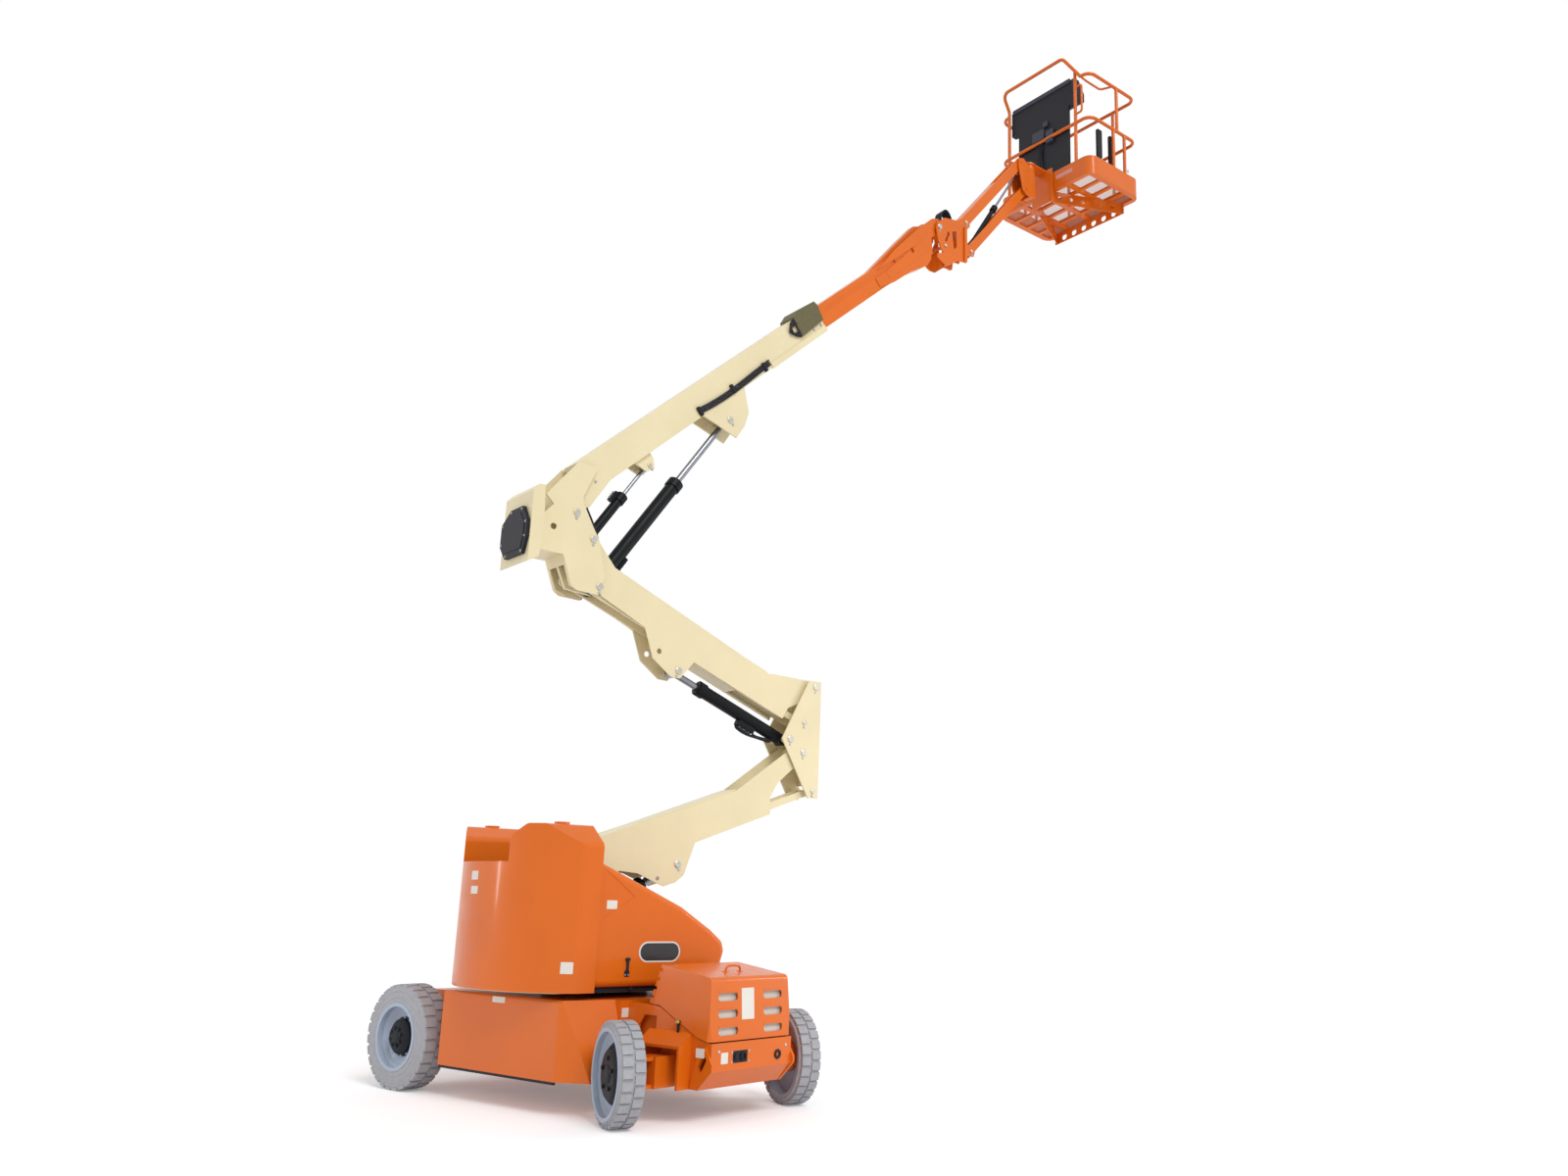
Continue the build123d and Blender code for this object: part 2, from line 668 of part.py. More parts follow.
side_hood_y = (335.0, 680.0)
side_nose = 60.0
side_edge = 40.0
side_outline = [
    (-394, 700), (-394, 1423), (200, 1165), (420, 1030), (510, 960), (528, 900), (480, 745), (440, 700),
]
side_recess = [(-372, 1388), (-150, 1221), (-358, 1094)]
recess_deep = 3.0
for where, side in (("right", 1), ("left", -1)):
    with BuildPart() as side_hood:
        with BuildSketch(table.offset(side * side_hood_y[0])) as side_view:
            with BuildLine():
                Polyline(*side_outline, close=True)
            make_face()
            fillet([v for v in side_view.vertices() if v.X > 100], side_nose)
        extrude(amount=side * (side_hood_y[1] - side_hood_y[0]))
        outer_face = side_hood.faces().sort_by(Axis(table.origin, right * side))[-1]
        top_edges = outer_face.edges().sort_by(Axis(table.origin, forward))[1:].sort_by(Axis.Z)[1:]
        fillet(top_edges, side_edge)
        inner_face = side_hood.faces().sort_by(Axis(table.origin, right * side))[0]
        offset(amount=-hood_wall, openings=inner_face)
        recess_plane = table.offset(side * side_hood_y[1])
        extrude(outline(recess_plane, side_recess), amount=-side * recess_deep, mode=Mode.SUBTRACT)
    finish(side_hood, f"side_hood_{where}")

# ---------------------------------------------------------------- lower arm and its link
arm_wall = 9.0
with BuildPart() as lower_arm:
    plates(
        lower,
        [
            (-62, -20), (-40, 48), (30, 56), (316, -90), (1451, -103), (1920, 31), (2040, 60), (2120, 40),
            (2125, -30), (2060, -62), (1950, -98), (1809, -151), (1718, -227), (1682, -343), (1021, -344),
            (874, -523), (800, -548), (704, -544), (540, -400), (420, -343), (230, -343), (190, -150),
        ],
        lower_half - arm_wall, lower_half,
    )
    for low, high, start, end in ((-103, -93, 316, 1451), (-344, -334, 230, 420), (-344, -334, 1021, 1682)):
        between(lower, [(start, low), (end, low), (end, high), (start, high)], lower_half - arm_wall)
    for s in (0, arm_length):
        across(lower, s, 0, 46, lower_half - arm_wall)
        across(lower, s, 0, pin_r + bore_clear, lower_half + 1, mode=Mode.SUBTRACT)
    bosses(lower, *lower_lug, pin_r, 56, lower_half + 6)
    bosses(lower, 673, -479, 14, lower_half - arm_wall - 1, lower_half + 1, mode=Mode.SUBTRACT)
finish(lower_arm, "lower_arm")


def timing_link(start, angle, inner, outer):
    """A pair of flat bars with a round eye at each end, tied together at the riser."""
    plane = member(start, angle)
    with BuildPart() as link:
        for side in (1, -1):
            for s in (0, arm_length):
                extrude(disc(plane.offset(side * inner), s, 0, 34), amount=side * (outer - inner))
            bar = [(0, -link_bar), (arm_length, -link_bar), (arm_length, link_bar), (0, link_bar)]
            extrude(outline(plane.offset(side * inner), bar), amount=side * (outer - inner))
        across(plane, 1500, 0, 18, inner)
        for s in (0, arm_length):
            across(plane, s, 0, small_pin_r + bore_clear, outer + 1, mode=Mode.SUBTRACT)
    return link


finish(timing_link(lower_link_base, lower_angle, 57, 73), "lower_link")
finish(timing_link(mid_link_end, -mid_angle, 57, 73), "mid_link")


# ---------------------------------------------------------------- hydraulic cylinders


def cylinder(name, base, rod_pin, barrel_end, barrel_r, rod_r, eye_half, base_r, rod_pin_r, reach, tail_at, fork=0.0):
    """Barrel with its base eye, and rod with its eye and the length of pin that it carries.

    tail_at is how far from the base pin the hidden end of the rod stands at rest."""
    angle = degrees(atan2(rod_pin[1] - base[1], rod_pin[0] - base[0]))
    length = hypot(rod_pin[1] - base[1], rod_pin[0] - base[0])
    plane = member(base, angle)
    inner_r = rod_r + 0.4
    with BuildPart() as barrel:
        start = base_r + (78 if fork else 12)
        turned(plane, [(start, 0), (start, barrel_r), (barrel_end - 60, barrel_r),
                       (barrel_end - 60, barrel_r + 9), (barrel_end, barrel_r + 9), (barrel_end, 0)])
        across(plane, 0, 0, base_r + 18, eye_half)
        neck = start + 26
        between(plane, [(0, -base_r - 6), (neck, -base_r - 6), (neck, base_r + 6), (0, base_r + 6)], eye_half - 4)
        if fork:
            between(plane, [(-80, -80), (start, -80), (start, 80), (-80, 80)], fork, mode=Mode.SUBTRACT)
        bore = outline(plane, [(neck + 28, 0), (neck + 28, inner_r), (barrel_end + 1, inner_r), (barrel_end + 1, 0)])
        revolve(bore, axis=Axis(plane.origin, plane.x_dir), mode=Mode.SUBTRACT)
        across(plane, 0, 0, base_r + bore_clear, eye_half + 1, mode=Mode.SUBTRACT)
    finish(barrel, f"{name}_barrel")
    with BuildPart() as rod:
        turned(plane, [(tail_at, 0), (tail_at, rod_r), (length - 10, rod_r), (length - 10, 0)])
        across(plane, length, 0, rod_pin_r + 16, eye_half)
        across(plane, length, 0, rod_pin_r, reach)
    finish(rod, f"{name}_rod")


lower_rod_pin = further(lower_pin, lower_angle, *lower_lug)
mid_rod_pin = further(upright_pin, -mid_angle, *mid_lug)
main_rod_pin = further(boom_pin, main_angle, *main_lug)
level_rod_pin = further(boom_pin, main_angle, *level_lug)
jib_rod_pin = further(jib_upper_pin, jib_angle, *jib_lug)
cylinder("lower_lift", lower_lift_base, lower_rod_pin, 790, 48, 25, 40, pin_r, pin_r, 54, 335)
cylinder("mid_lift", mid_lift_base, mid_rod_pin, 810, 46, 24, 38, pin_r, pin_r, 52, 390)
cylinder("main_lift", lift_base, main_rod_pin, 1090, 50, 24, 44, pin_r, pin_r, 52, 700, fork=rear_lug_half + 1.5)
cylinder("levelling", upright_pin, level_rod_pin, 470, 34, 14, 26, pin_r, small_pin_r, 40, 310)
cylinder("jib", jib_lower_pin, jib_rod_pin, 760, 22, 11, 18, small_pin_r, 12, 19, 540)

# ---------------------------------------------------------------- riser
with BuildPart() as riser_part:
    plates(
        riser,
        [
            (146, -326), (146, 542), (33, 542), (-198, 91), (54, -326),
        ],
        riser_inner, riser_inner + 12,
    )
    between(riser, [(134, -225), (146, -225), (146, 435), (134, 435)], riser_inner)
    for s, n, r in (
        (0, 0, pin_r), (link_step, -link_drop, small_pin_r), (riser_step, riser_rise, pin_r),
        (mid_link_base[0] - riser_low[0], mid_link_base[1] - riser_low[1], small_pin_r),
        (mid_lift_base[0] - riser_low[0], mid_lift_base[1] - riser_low[1], pin_r),
    ):
        across(riser, s, n, r, riser_inner + 18)
finish(riser_part, "riser")

# ---------------------------------------------------------------- mid arm
with BuildPart() as mid_arm:
    plates(
        mid,
        [
            (-50, -20), (-46, 24), (-20, 48), (20, 48), (242, -68), (1682, -103), (1700, -90), (2080, 46),
            (2112, 36), (2130, 0), (2120, -34), (2095, -46), (2008, -174), (1937, -249), (1924, -344), (1075, -343),
            (1022, -501), (950, -525), (769, -478), (625, -318), (240, -298), (60, -200),
        ],
        mid_half - arm_wall, mid_half,
    )
    for low, high, start, end in ((-103, -93, 1150, 1660), (-344, -334, 1085, 1480)):
        between(mid, [(start, low), (end, low), (end, high), (start, high)], mid_half - arm_wall)
    # flanges only, where the lift cylinder's barrel comes through
    plates(mid, [(1470, -344), (1900, -344), (1900, -334), (1470, -334)], 62, mid_half - arm_wall)
    across(mid, 0, 0, pin_r + bore_clear, mid_half + 1, mode=Mode.SUBTRACT)
    across(mid, arm_length, 0, 46, mid_half - arm_wall)
    across(mid, arm_length, 0, pin_r + bore_clear, mid_half + 1, mode=Mode.SUBTRACT)
    bosses(mid, *mid_lug, pin_r, 54, mid_half + 6)
    bosses(mid, 794, -411, 20, mid_half - arm_wall - 1, mid_half + 1, mode=Mode.SUBTRACT)
finish(mid_arm, "mid_arm")

# ---------------------------------------------------------------- upper upright
with BuildPart() as upright_part:
    plates(
        upright,
        [
            (-150, 516), (-7, 504), (-101, 274), (-92, 231), (-16, 96), (47, -6), (105, -245), (62, -371),
            (-93, -364), (-137, -337), (-212, -141), (-382, -141), (-411, -103), (-412, 63), (-309, 183),
            (-367, 239), (-283, 348),
        ],
        upright_inner, upright_half,
    )
    # plates across the back, between the side plates
    for start, end, inner in (
        ((-410, -120), (-410, 63), 0), ((-382, -141), (-200, -141), 0),
        ((-212, -141), (-188, -204), 0), ((-212, -141), (-137, -337), 98), ((-142, -335), (-60, -362), 98),
    ):
        dx = end[0] - start[0]
        dz = end[1] - start[1]
        nx = -dz / hypot(dx, dz) * plate
        nz = dx / hypot(dx, dz) * plate
        if nx < 0:
            nx, nz = -nx, -nz
        plates(upright, [start, end, (end[0] + nx, end[1] + nz), (start[0] + nx, start[1] + nz)], inner, upright_inner)
    # box on the back
    between(upright, [(-400, -110), (-420, -210), (-490, -250), (-490, 230), (-450, 275), (-412, 275), (-400, 60)], 200)
    # middle lug for the lift cylinder and the timing link
    between(upright, [(-405, -135), (-405, -40), (-230, -60), (-60, -150), (115, -280), (115, -330), (80, -356),
                      (-120, -340), (-212, -140)], rear_lug_half)
    across(upright, -link_step, -link_drop, small_pin_r, 76)
    across(upright, 73, -315, pin_r, 48)
    bosses(upright, 73, -315, pin_r, upright_inner, upright_half + 6)
    for s, n, r in ((0, 0, pin_r), (-137, 159, pin_r)):
        across(upright, s, n, r, upright_half + 6)
    bosses(upright, -297, 33, 22, upright_inner - 1, upright_half + 1, mode=Mode.SUBTRACT)
finish(upright_part, "upright")

with BuildPart() as rear_cover:
    cover_plane = Plane(origin=forward * (upright_pin[0] - 490.3) + up * (upright_pin[1] - 30), x_dir=right, z_dir=forward * -1)
    with BuildSketch(cover_plane):
        with BuildLine():
            Polyline((-100, -165), (150, -165), (190, -60), (190, 50), (110, 160), (-60, 160), (-185, 80), (-185, -70),
                     close=True)
        make_face()
    extrude(amount=24)
finish(rear_cover, "rear_cover")

# ---------------------------------------------------------------- main boom
main_low = 48.0
main_high = 271.0
main_wall = 8.0
main_start = 230.0
fly_low = main_low + main_wall + 12
fly_high = main_high - main_wall - 12
fly_start = 1500.0
pad_clear = 0.4               # between the wear pads and the fly boom
main_end = 2884.0
with BuildPart() as main_boom:
    between(main, [(main_start, main_low), (main_end, main_low), (main_end, main_high), (main_start, main_high)],
            main_half)
    between(main, [(main_start + 12, main_low + main_wall), (main_end + 1, main_low + main_wall),
                   (main_end + 1, main_high - main_wall), (main_start + 12, main_high - main_wall)],
            main_half - main_wall, mode=Mode.SUBTRACT)
    # wear pads round the fly boom
    bosses_n = (main_low + main_wall, fly_low - pad_clear, fly_high + pad_clear, main_high - main_wall)
    for low, high in ((bosses_n[0], bosses_n[1]), (bosses_n[2], bosses_n[3])):
        between(main, [(2740, low), (main_end, low), (main_end, high), (2740, high)], fly_half - 10)
    plates(main, [(2740, fly_low + 20), (main_end, fly_low + 20), (main_end, fly_high - 20), (2740, fly_high - 20)],
           fly_half + pad_clear, main_half - main_wall)
    # foot down to the pivot
    plates(main, [(-55, -30), (0, -58), (60, -40), (430, 60), (400, 200), (240, 200), (-20, 60)],
           main_half - 14, main_half)
    across(main, 0, 0, 48, main_half - 14)
    across(main, 0, 0, pin_r + bore_clear, main_half + 1, mode=Mode.SUBTRACT)
    # lift cylinder lug and levelling cylinder lug
    plates(main, [(1356, 56), (1515, -226), (1640, -190), (1740, -126), (1835, 56)], main_half - 14, main_half)
    bosses(main, *main_lug, pin_r, 54, main_half + 6)
    plates(main, [(640, 56), (690, -50), (760, -66), (800, 0), (800, 56)], 52, 64)
    bosses(main, *level_lug, small_pin_r, 42, 70)
    # doubler plates along the lower edge at the mouth
    plates(main, [(2172, 40), (main_end, 44), (main_end, 94), (2182, 84)], main_half - 1, main_half + 7)
finish(main_boom, "main_boom")

guide_gap = 0.3
guide_wall = 26.0
with BuildPart() as hose_guide:
    # a cover bent over the top and the right side of the boom's mouth
    over = [(2590, 118), (2880, 136), (2905, 262), (2890, 300), (2690, 312), (2610, 286)]
    extrude(outline(main.offset(-60), over), amount=60 + main_half + guide_wall)
    inside = [(2500, 60), (3000, 60), (3000, main_high + guide_gap), (2500, main_high + guide_gap)]
    extrude(outline(main.offset(-70), inside), amount=70 + main_half + guide_gap, mode=Mode.SUBTRACT)
    # tongue that keeps the hoses over the fly boom
    between(main, [(2860, main_high + 4), (2940, main_high + 4), (2930, 296), (2860, 300)], 34)
finish(hose_guide, "hose_guide")

# ---------------------------------------------------------------- fly boom
tip_half = fly_half + 7       # the reinforced end of the fly boom
with BuildPart() as fly_boom:
    between(main, [(fly_start, fly_low), (4500, fly_low), (4600, 205), (4560, fly_high), (fly_start, fly_high)], fly_half)
    between(main, [(fly_start - 1, fly_low + 7), (3650, fly_low + 7), (3650, fly_high - 7), (fly_start - 1, fly_high - 7)],
            fly_half - 7, mode=Mode.SUBTRACT)
    # groove along both sides between the two pressed halves
    plates(main, [(2990, 178), (4140, 178), (4140, 204), (2990, 204)], fly_half - 3, fly_half + 1, mode=Mode.SUBTRACT)
    # reinforced lower end
    between(main, [(3697, 172), (3697, 90), (3890, 58), (4112, 52), (4352, 14), (4440, 38), (4578, 196), (4300, 176)],
            tip_half)
    plates(main, [(3852, 100), (4500, 120), (4584, 204), (4560, 232), (3843, 172)], fly_half - 1, tip_half + 2)
    # tip plates that carry the jib bracket, and the ridge on top
    plates(main, [(3760, fly_high - 30), (4100, 286), (4480, 326), (4712, 330), (4790, 300), (4782, 230), (4728, 186),
                  (4600, 196), (4400, 214)], fly_half - 8, tip_half)
    between(main, [(3700, fly_high - 1), (4198, 326), (4480, 362), (4549, 336), (4600, fly_high - 1)], 34)
    bosses(main, 4272, 196, 24, tip_half - 14, tip_half + 3, mode=Mode.SUBTRACT)
    plates(main, [(3975, 190), (4025, 190), (4025, 214), (3975, 214)], fly_half - 12, fly_half + 1, mode=Mode.SUBTRACT)
    across(main, *fly_tip, pin_r, bracket_inner + 18)
finish(fly_boom, "fly_boom")

# ---------------------------------------------------------------- jib bracket
upper_ear = (jib_upper_pin[0] - jib_pin[0], jib_upper_pin[1] - jib_pin[1])
lower_ear = (jib_lower_pin[0] - jib_pin[0], jib_lower_pin[1] - jib_pin[1])
with BuildPart() as jib_bracket:
    plates(
        bracket,
        [(-45, -25), (-30, 35), (60, 112), (210, 140), (290, 200), (330, 212), (370, 192), (375, 140), (335, 92),
         (345, -46), (400, -56), (441, -95), (425, -142), (345, -152), (335, -236), (229, -250), (125, -336), (60, -340),
         (-25, -300), (-30, -272), (50, -238), (15, -205), (-18, -140)],
        bracket_inner, bracket_inner + 12,
    )
    plates(bracket, [(150, 8), (205, 30), (212, -122), (176, -160)], bracket_inner - 1, bracket_inner + 13,
           mode=Mode.SUBTRACT)
    plates(bracket, [(114, -12), (120, -40), (86, -120), (62, -112), (94, -44), (94, -8)], bracket_inner - 1,
           bracket_inner + 13, mode=Mode.SUBTRACT)
    bosses(bracket, 0, 0, pin_r + bore_clear, bracket_inner - 1, bracket_inner + 13, mode=Mode.SUBTRACT)
    # column between the plates, and its flange outside them
    between(bracket, [(213, -242), (243, -242), (243, 72), (213, 72)], bracket_inner)
    plates(bracket, [(300, -236), (330, -236), (322, 110), (292, 100)], bracket_inner + 11, bracket_inner + 30)
    across(bracket, 73, -159, 14, bracket_inner + 18)
    for s, n in (upper_ear, lower_ear):
        across(bracket, s, n, small_pin_r, bracket_inner + 18)
        bosses(bracket, s, n, 26, jib_half + gap, bracket_inner)
finish(jib_bracket, "jib_bracket")


def channel(plane, depth, inner, outer, web, web_end):
    """A jib arm: two sides and a web, with round ends."""
    with BuildPart() as arm:
        for side in (1, -1):
            for s in (0, jib_length):
                extrude(disc(plane.offset(side * inner), s, 0, depth), amount=side * (outer - inner))
        plates(plane, [(0, -depth), (jib_length, -depth), (jib_length, depth), (0, depth)], inner, outer)
        between(plane, [(20, web), (web_end, web), (web_end, web + 8), (20, web + 8)], inner)
        if web > 0:
            plates(plane, [(1120, 40), (1120, -70), (1140, -84), (1172, -84), (1192, -70), (1192, 40)], 20, 27)
            bosses(plane, *jib_lug, 12, 20, 27)
            # the lug plates stand on thick blocks inside the arm, clear of the rod's eye
            plates(plane, [(1120, 40), (1120, -26), (1192, -26), (1192, 40)], 26, inner + 1)
        for s in (0, jib_length):
            across(plane, s, 0, small_pin_r + bore_clear, outer + 1, mode=Mode.SUBTRACT)
    return arm


finish(channel(jib_upper, 46, 42, 50, 38, 755), "jib_upper_arm")
finish(channel(jib_lower, 42, 29, 36, -42, jib_length - 20), "jib_lower_arm")

with BuildPart() as jib_head:
    plates(
        head,
        [(-110, 290), (-40, 310), (60, 250), (120, 200), (120, -60), (0, -60), (-50, -30), (-110, 200)],
        jib_half + gap, jib_half + gap + 12,
    )
    between(head, [(70, -50), (120, -50), (120, 190), (70, 190)], jib_half + gap)
    for s, n in ((head_upper_pin[0] - head_lower_pin[0], head_upper_pin[1] - head_lower_pin[1]), (0, 0)):
        across(head, s, n, small_pin_r, jib_half + gap + 18)
    with BuildSketch(Plane(origin=forward * rotator[0] + up * (rotator[1] - 4), x_dir=forward, z_dir=up)):
        Circle(62)
    extrude(amount=244)
finish(jib_head, "jib_head")

# ---------------------------------------------------------------- platform
platform_long = 1220.0
platform_deep = 755.0
platform_gap = 216.0          # from the rotator's axis to the platform
pan_low = 8033.0
pan_high = 8228.0
pan_corner = 100.0
pan_wall = 4.0
floor_sheet = 3.0
beam_high = 22.0
rail_height = 1100.0          # top of the rails above the floor
hoop_rise = 230.0             # console hoop above the rails
hoop_lean = 95.0
rail_r = 17.0
post_r = rail_r - 0.5
mid_rail = 600.0
pan_front = rotator[0] + platform_gap
pan_mid = forward * (pan_front + platform_deep / 2)
floor_plane = Plane(origin=pan_mid, x_dir=forward, z_dir=up)
mesh_low = pan_low + beam_high
rail_top = mesh_low + floor_sheet + rail_height
seat_gap = 0.3                # between a rail's foot and the pan's wall, and under the mesh floor
rail_inset = pan_wall + seat_gap + rail_r    # the tubes stand just inside the pan's wall
near = rail_inset - platform_deep / 2        # centre line of the rails on the boom's side
far = platform_deep / 2 - rail_inset
side_rail = platform_long / 2 - rail_inset
post_low = pan_high - 60
with BuildPart() as pan:
    with BuildSketch(floor_plane.offset(pan_low)):
        RectangleRounded(platform_deep, platform_long, pan_corner)
        RectangleRounded(platform_deep - 2 * pan_wall, platform_long - 2 * pan_wall, pan_corner - pan_wall, mode=Mode.SUBTRACT)
    extrude(amount=pan_high - pan_low)
    # frame under the floor: a plate with a window for each field of mesh
    with BuildSketch(floor_plane.offset(pan_low)):
        RectangleRounded(platform_deep - pan_wall, platform_long - pan_wall, pan_corner - pan_wall / 2)
        with GridLocations(175, 290, 4, 4):
            RectangleRounded(135, 235, 12, mode=Mode.SUBTRACT)
    extrude(amount=beam_high)
finish(pan, "platform_pan")

with BuildPart() as mesh_floor:
    with BuildSketch(floor_plane.offset(mesh_low + seat_gap)):
        RectangleRounded(platform_deep - 2 * pan_wall - 1, platform_long - 2 * pan_wall - 1, pan_corner - pan_wall - 0.5)
    extrude(amount=floor_sheet)
finish(mesh_floor, "platform_floor")

# support: a hub on the rotator, two arms spread under the platform, and a plate across their far ends
arm_high = 118.0
arm_low = pan_low - 0.3 - arm_high
arm_plate = 8.0
far_plate_x = pan_front + platform_deep - 70
far_plate_half = 450.0
hole_pitch = 130.0
hole_r = 32.0
with BuildPart() as support:
    rot_plane = Plane(origin=forward * rotator[0], x_dir=forward, z_dir=up)
    with BuildSketch(rot_plane.offset(rotator[1] + 240.3)):
        Circle(70)
    extrude(amount=20)
    with BuildSketch(rot_plane.offset(rotator[1] + 246)):
        with Locations((platform_gap / 2, 0)):
            Rectangle(platform_gap - 40, 120)
    extrude(amount=15)
    with BuildSketch(rot_plane.offset(arm_low)):
        with Locations((platform_gap - 15, 0)):
            Rectangle(arm_plate * 2, 260)
    extrude(amount=rotator[1] + 261 - arm_low)
    for side in (1, -1):
        with BuildSketch(rot_plane.offset(arm_low)) as arm_plan:
            with BuildLine():
                Polyline(
                    (platform_gap - 20, side * 100), (far_plate_x - rotator[0], side * (far_plate_half - 20)),
                    (far_plate_x - rotator[0], side * (far_plate_half - 20 - arm_plate)),
                    (platform_gap - 20, side * (100 - arm_plate)), close=True,
                )
            make_face()
        extrude(amount=arm_high)
        # lightening holes through the arm
        run = (far_plate_x - rotator[0] - platform_gap, far_plate_half - 120)
        length = hypot(*run)
        start = forward * (rotator[0] + platform_gap) + right * -side * 100 + up * (arm_low + arm_high / 2)
        along = (forward * run[0] + right * -side * run[1]) * (1 / length)
        wall = Plane(origin=start, x_dir=along, z_dir=along.cross(up))
        with BuildSketch(wall.offset(-20)):
            with Locations(*[(length * t, 0) for t in (0.12, 0.28, 0.44, 0.7, 0.86)]):
                Circle(20)
        extrude(amount=40, mode=Mode.SUBTRACT)
    with BuildSketch(rot_plane.offset(arm_low)):
        with Locations((far_plate_x - rotator[0], 0)):
            Rectangle(arm_plate, 2 * far_plate_half)
    extrude(amount=arm_high)
    with BuildSketch(Plane(origin=forward * (far_plate_x + 20) + up * (arm_low + 48), x_dir=right, z_dir=forward * -1)):
        with Locations(*[((k - 2.5) * hole_pitch, 0) for k in range(6)]):
            Circle(hole_r)
    extrude(amount=40, mode=Mode.SUBTRACT)
finish(support, "platform_support")


def tube(points, radius, bend):
    """A bent tube through the points, given as (forward, left, height) from the platform's middle."""
    places = [pan_mid + forward * x + right * -y + up * z for x, y, z in points]
    with BuildLine() as route:
        FilletPolyline(*places, radius=bend)
    with BuildSketch(Plane(origin=route.line @ 0, z_dir=route.line % 0)) as section:
        Circle(radius)
    sweep(section.sketch, path=route.line)


def post(x, y, low, high):
    """An upright tube between two heights."""
    with BuildSketch(floor_plane.offset(low)) as section:
        with Locations((x, y)):
            Circle(post_r)
    extrude(section.sketch, amount=high - low)


top_level = rail_top - rail_r
mid_level = mesh_low + mid_rail
hoop_level = top_level + hoop_rise
corner_bend = 90.0
with BuildPart() as rails:
    # top rail round three sides, in halves that meet in the middle of the far side
    for side in (1, -1):
        tube([(near, side * 480, top_level), (near, side * side_rail, top_level), (far, side * side_rail, top_level),
              (far, 0, top_level)], rail_r, corner_bend)
        tube([(near, 0, mid_level), (near, side * side_rail, mid_level), (far, side * side_rail, mid_level),
              (far, 0, mid_level)], rail_r, corner_bend)
    # hoop over the console, leaning out over the jib
    tube([(near, 480, post_low), (near, 480, top_level + 60), (near - hoop_lean, 480, hoop_level),
          (near - hoop_lean, -330, hoop_level), (near, -480, top_level)], rail_r, 70)
    post(near, -410, post_low, top_level + 105)
    for y in (side_rail, -side_rail):
        post(far - 300, y, mid_level, top_level)
        post(far - 360, y, post_low, mid_level)
        post(far - 190, y, post_low, mid_level)
    for y in (-300, 300):
        post(far, y, post_low, top_level)
    # hand loop beside the console post, and the inner hand rail on the right
    tube([(near, -410, top_level - 90), (near, -492, top_level - 90), (near, -492, top_level - 390),
          (near, -410, top_level - 390)], 11, 30)
    tube([(near, -480, top_level), (near + 110, -470, top_level), (near + 310, -470, top_level),
          (near + 360, -side_rail, top_level)], 11, 45)
finish(rails, "platform_rails")

console_low = mesh_low + floor_sheet + 20
console_half = 350.0
console_back = near + rail_r + seat_gap
with BuildPart() as console:
    # control box with a sloped face, on a panel that closes the front down to the floor
    with BuildSketch(Plane(origin=pan_mid + right * console_half, x_dir=forward, z_dir=right)):
        with BuildLine():
            Polyline(
                (console_back, rail_top - 250), (console_back, rail_top + 20), (console_back + 40, rail_top + 62),
                (console_back + 110, rail_top + 62), (console_back + 190, rail_top - 60),
                (console_back + 190, rail_top - 150), (console_back + 60, rail_top - 250), close=True,
            )
        make_face()
    extrude(amount=-(2 * console_half + 110))
    with BuildSketch(floor_plane.offset(console_low)):
        with Locations((console_back + 12, 30)):
            Rectangle(24, 2 * console_half - 30)
    extrude(amount=rail_top - 249 - console_low)
finish(console, "control_console")

for name, point in (
    ("lower_pin", lower_pin), ("lower_lift_base", lower_lift_base), ("riser_low", riser_low), ("riser_top", riser_top), ("upright_pin", upright_pin),
    ("boom_pin", boom_pin), ("lift_base", lift_base), ("mid_lift_base", mid_lift_base),
    ("lower_link_base", lower_link_base), ("mid_link_base", mid_link_base), ("mid_link_end", mid_link_end),
    ("jib_pin", jib_pin), ("jib_upper_pin", jib_upper_pin), ("jib_lower_pin", jib_lower_pin),
    ("head_upper_pin", head_upper_pin), ("head_lower_pin", head_lower_pin), ("rotator", rotator),
    ("lower_rod_pin", lower_rod_pin), ("mid_rod_pin", mid_rod_pin), ("main_rod_pin", main_rod_pin),
    ("level_rod_pin", level_rod_pin), ("jib_rod_pin", jib_rod_pin),
):
    print(name, round(point[0], 1), round(point[1], 1))
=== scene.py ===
# %% [markdown]
# # An articulating boom lift, dressed for its portrait
# The lift arrives as a fixed frame: every plate, pin, rod and wheel is already a solid of its real
# size. This notebook gives those solids their finishes, adds the small things that are too fine for
# the frame, and sets up a plain studio round the machine.

# %% Load the frame
import bpy
import json
import math
from mathutils import Matrix, Vector


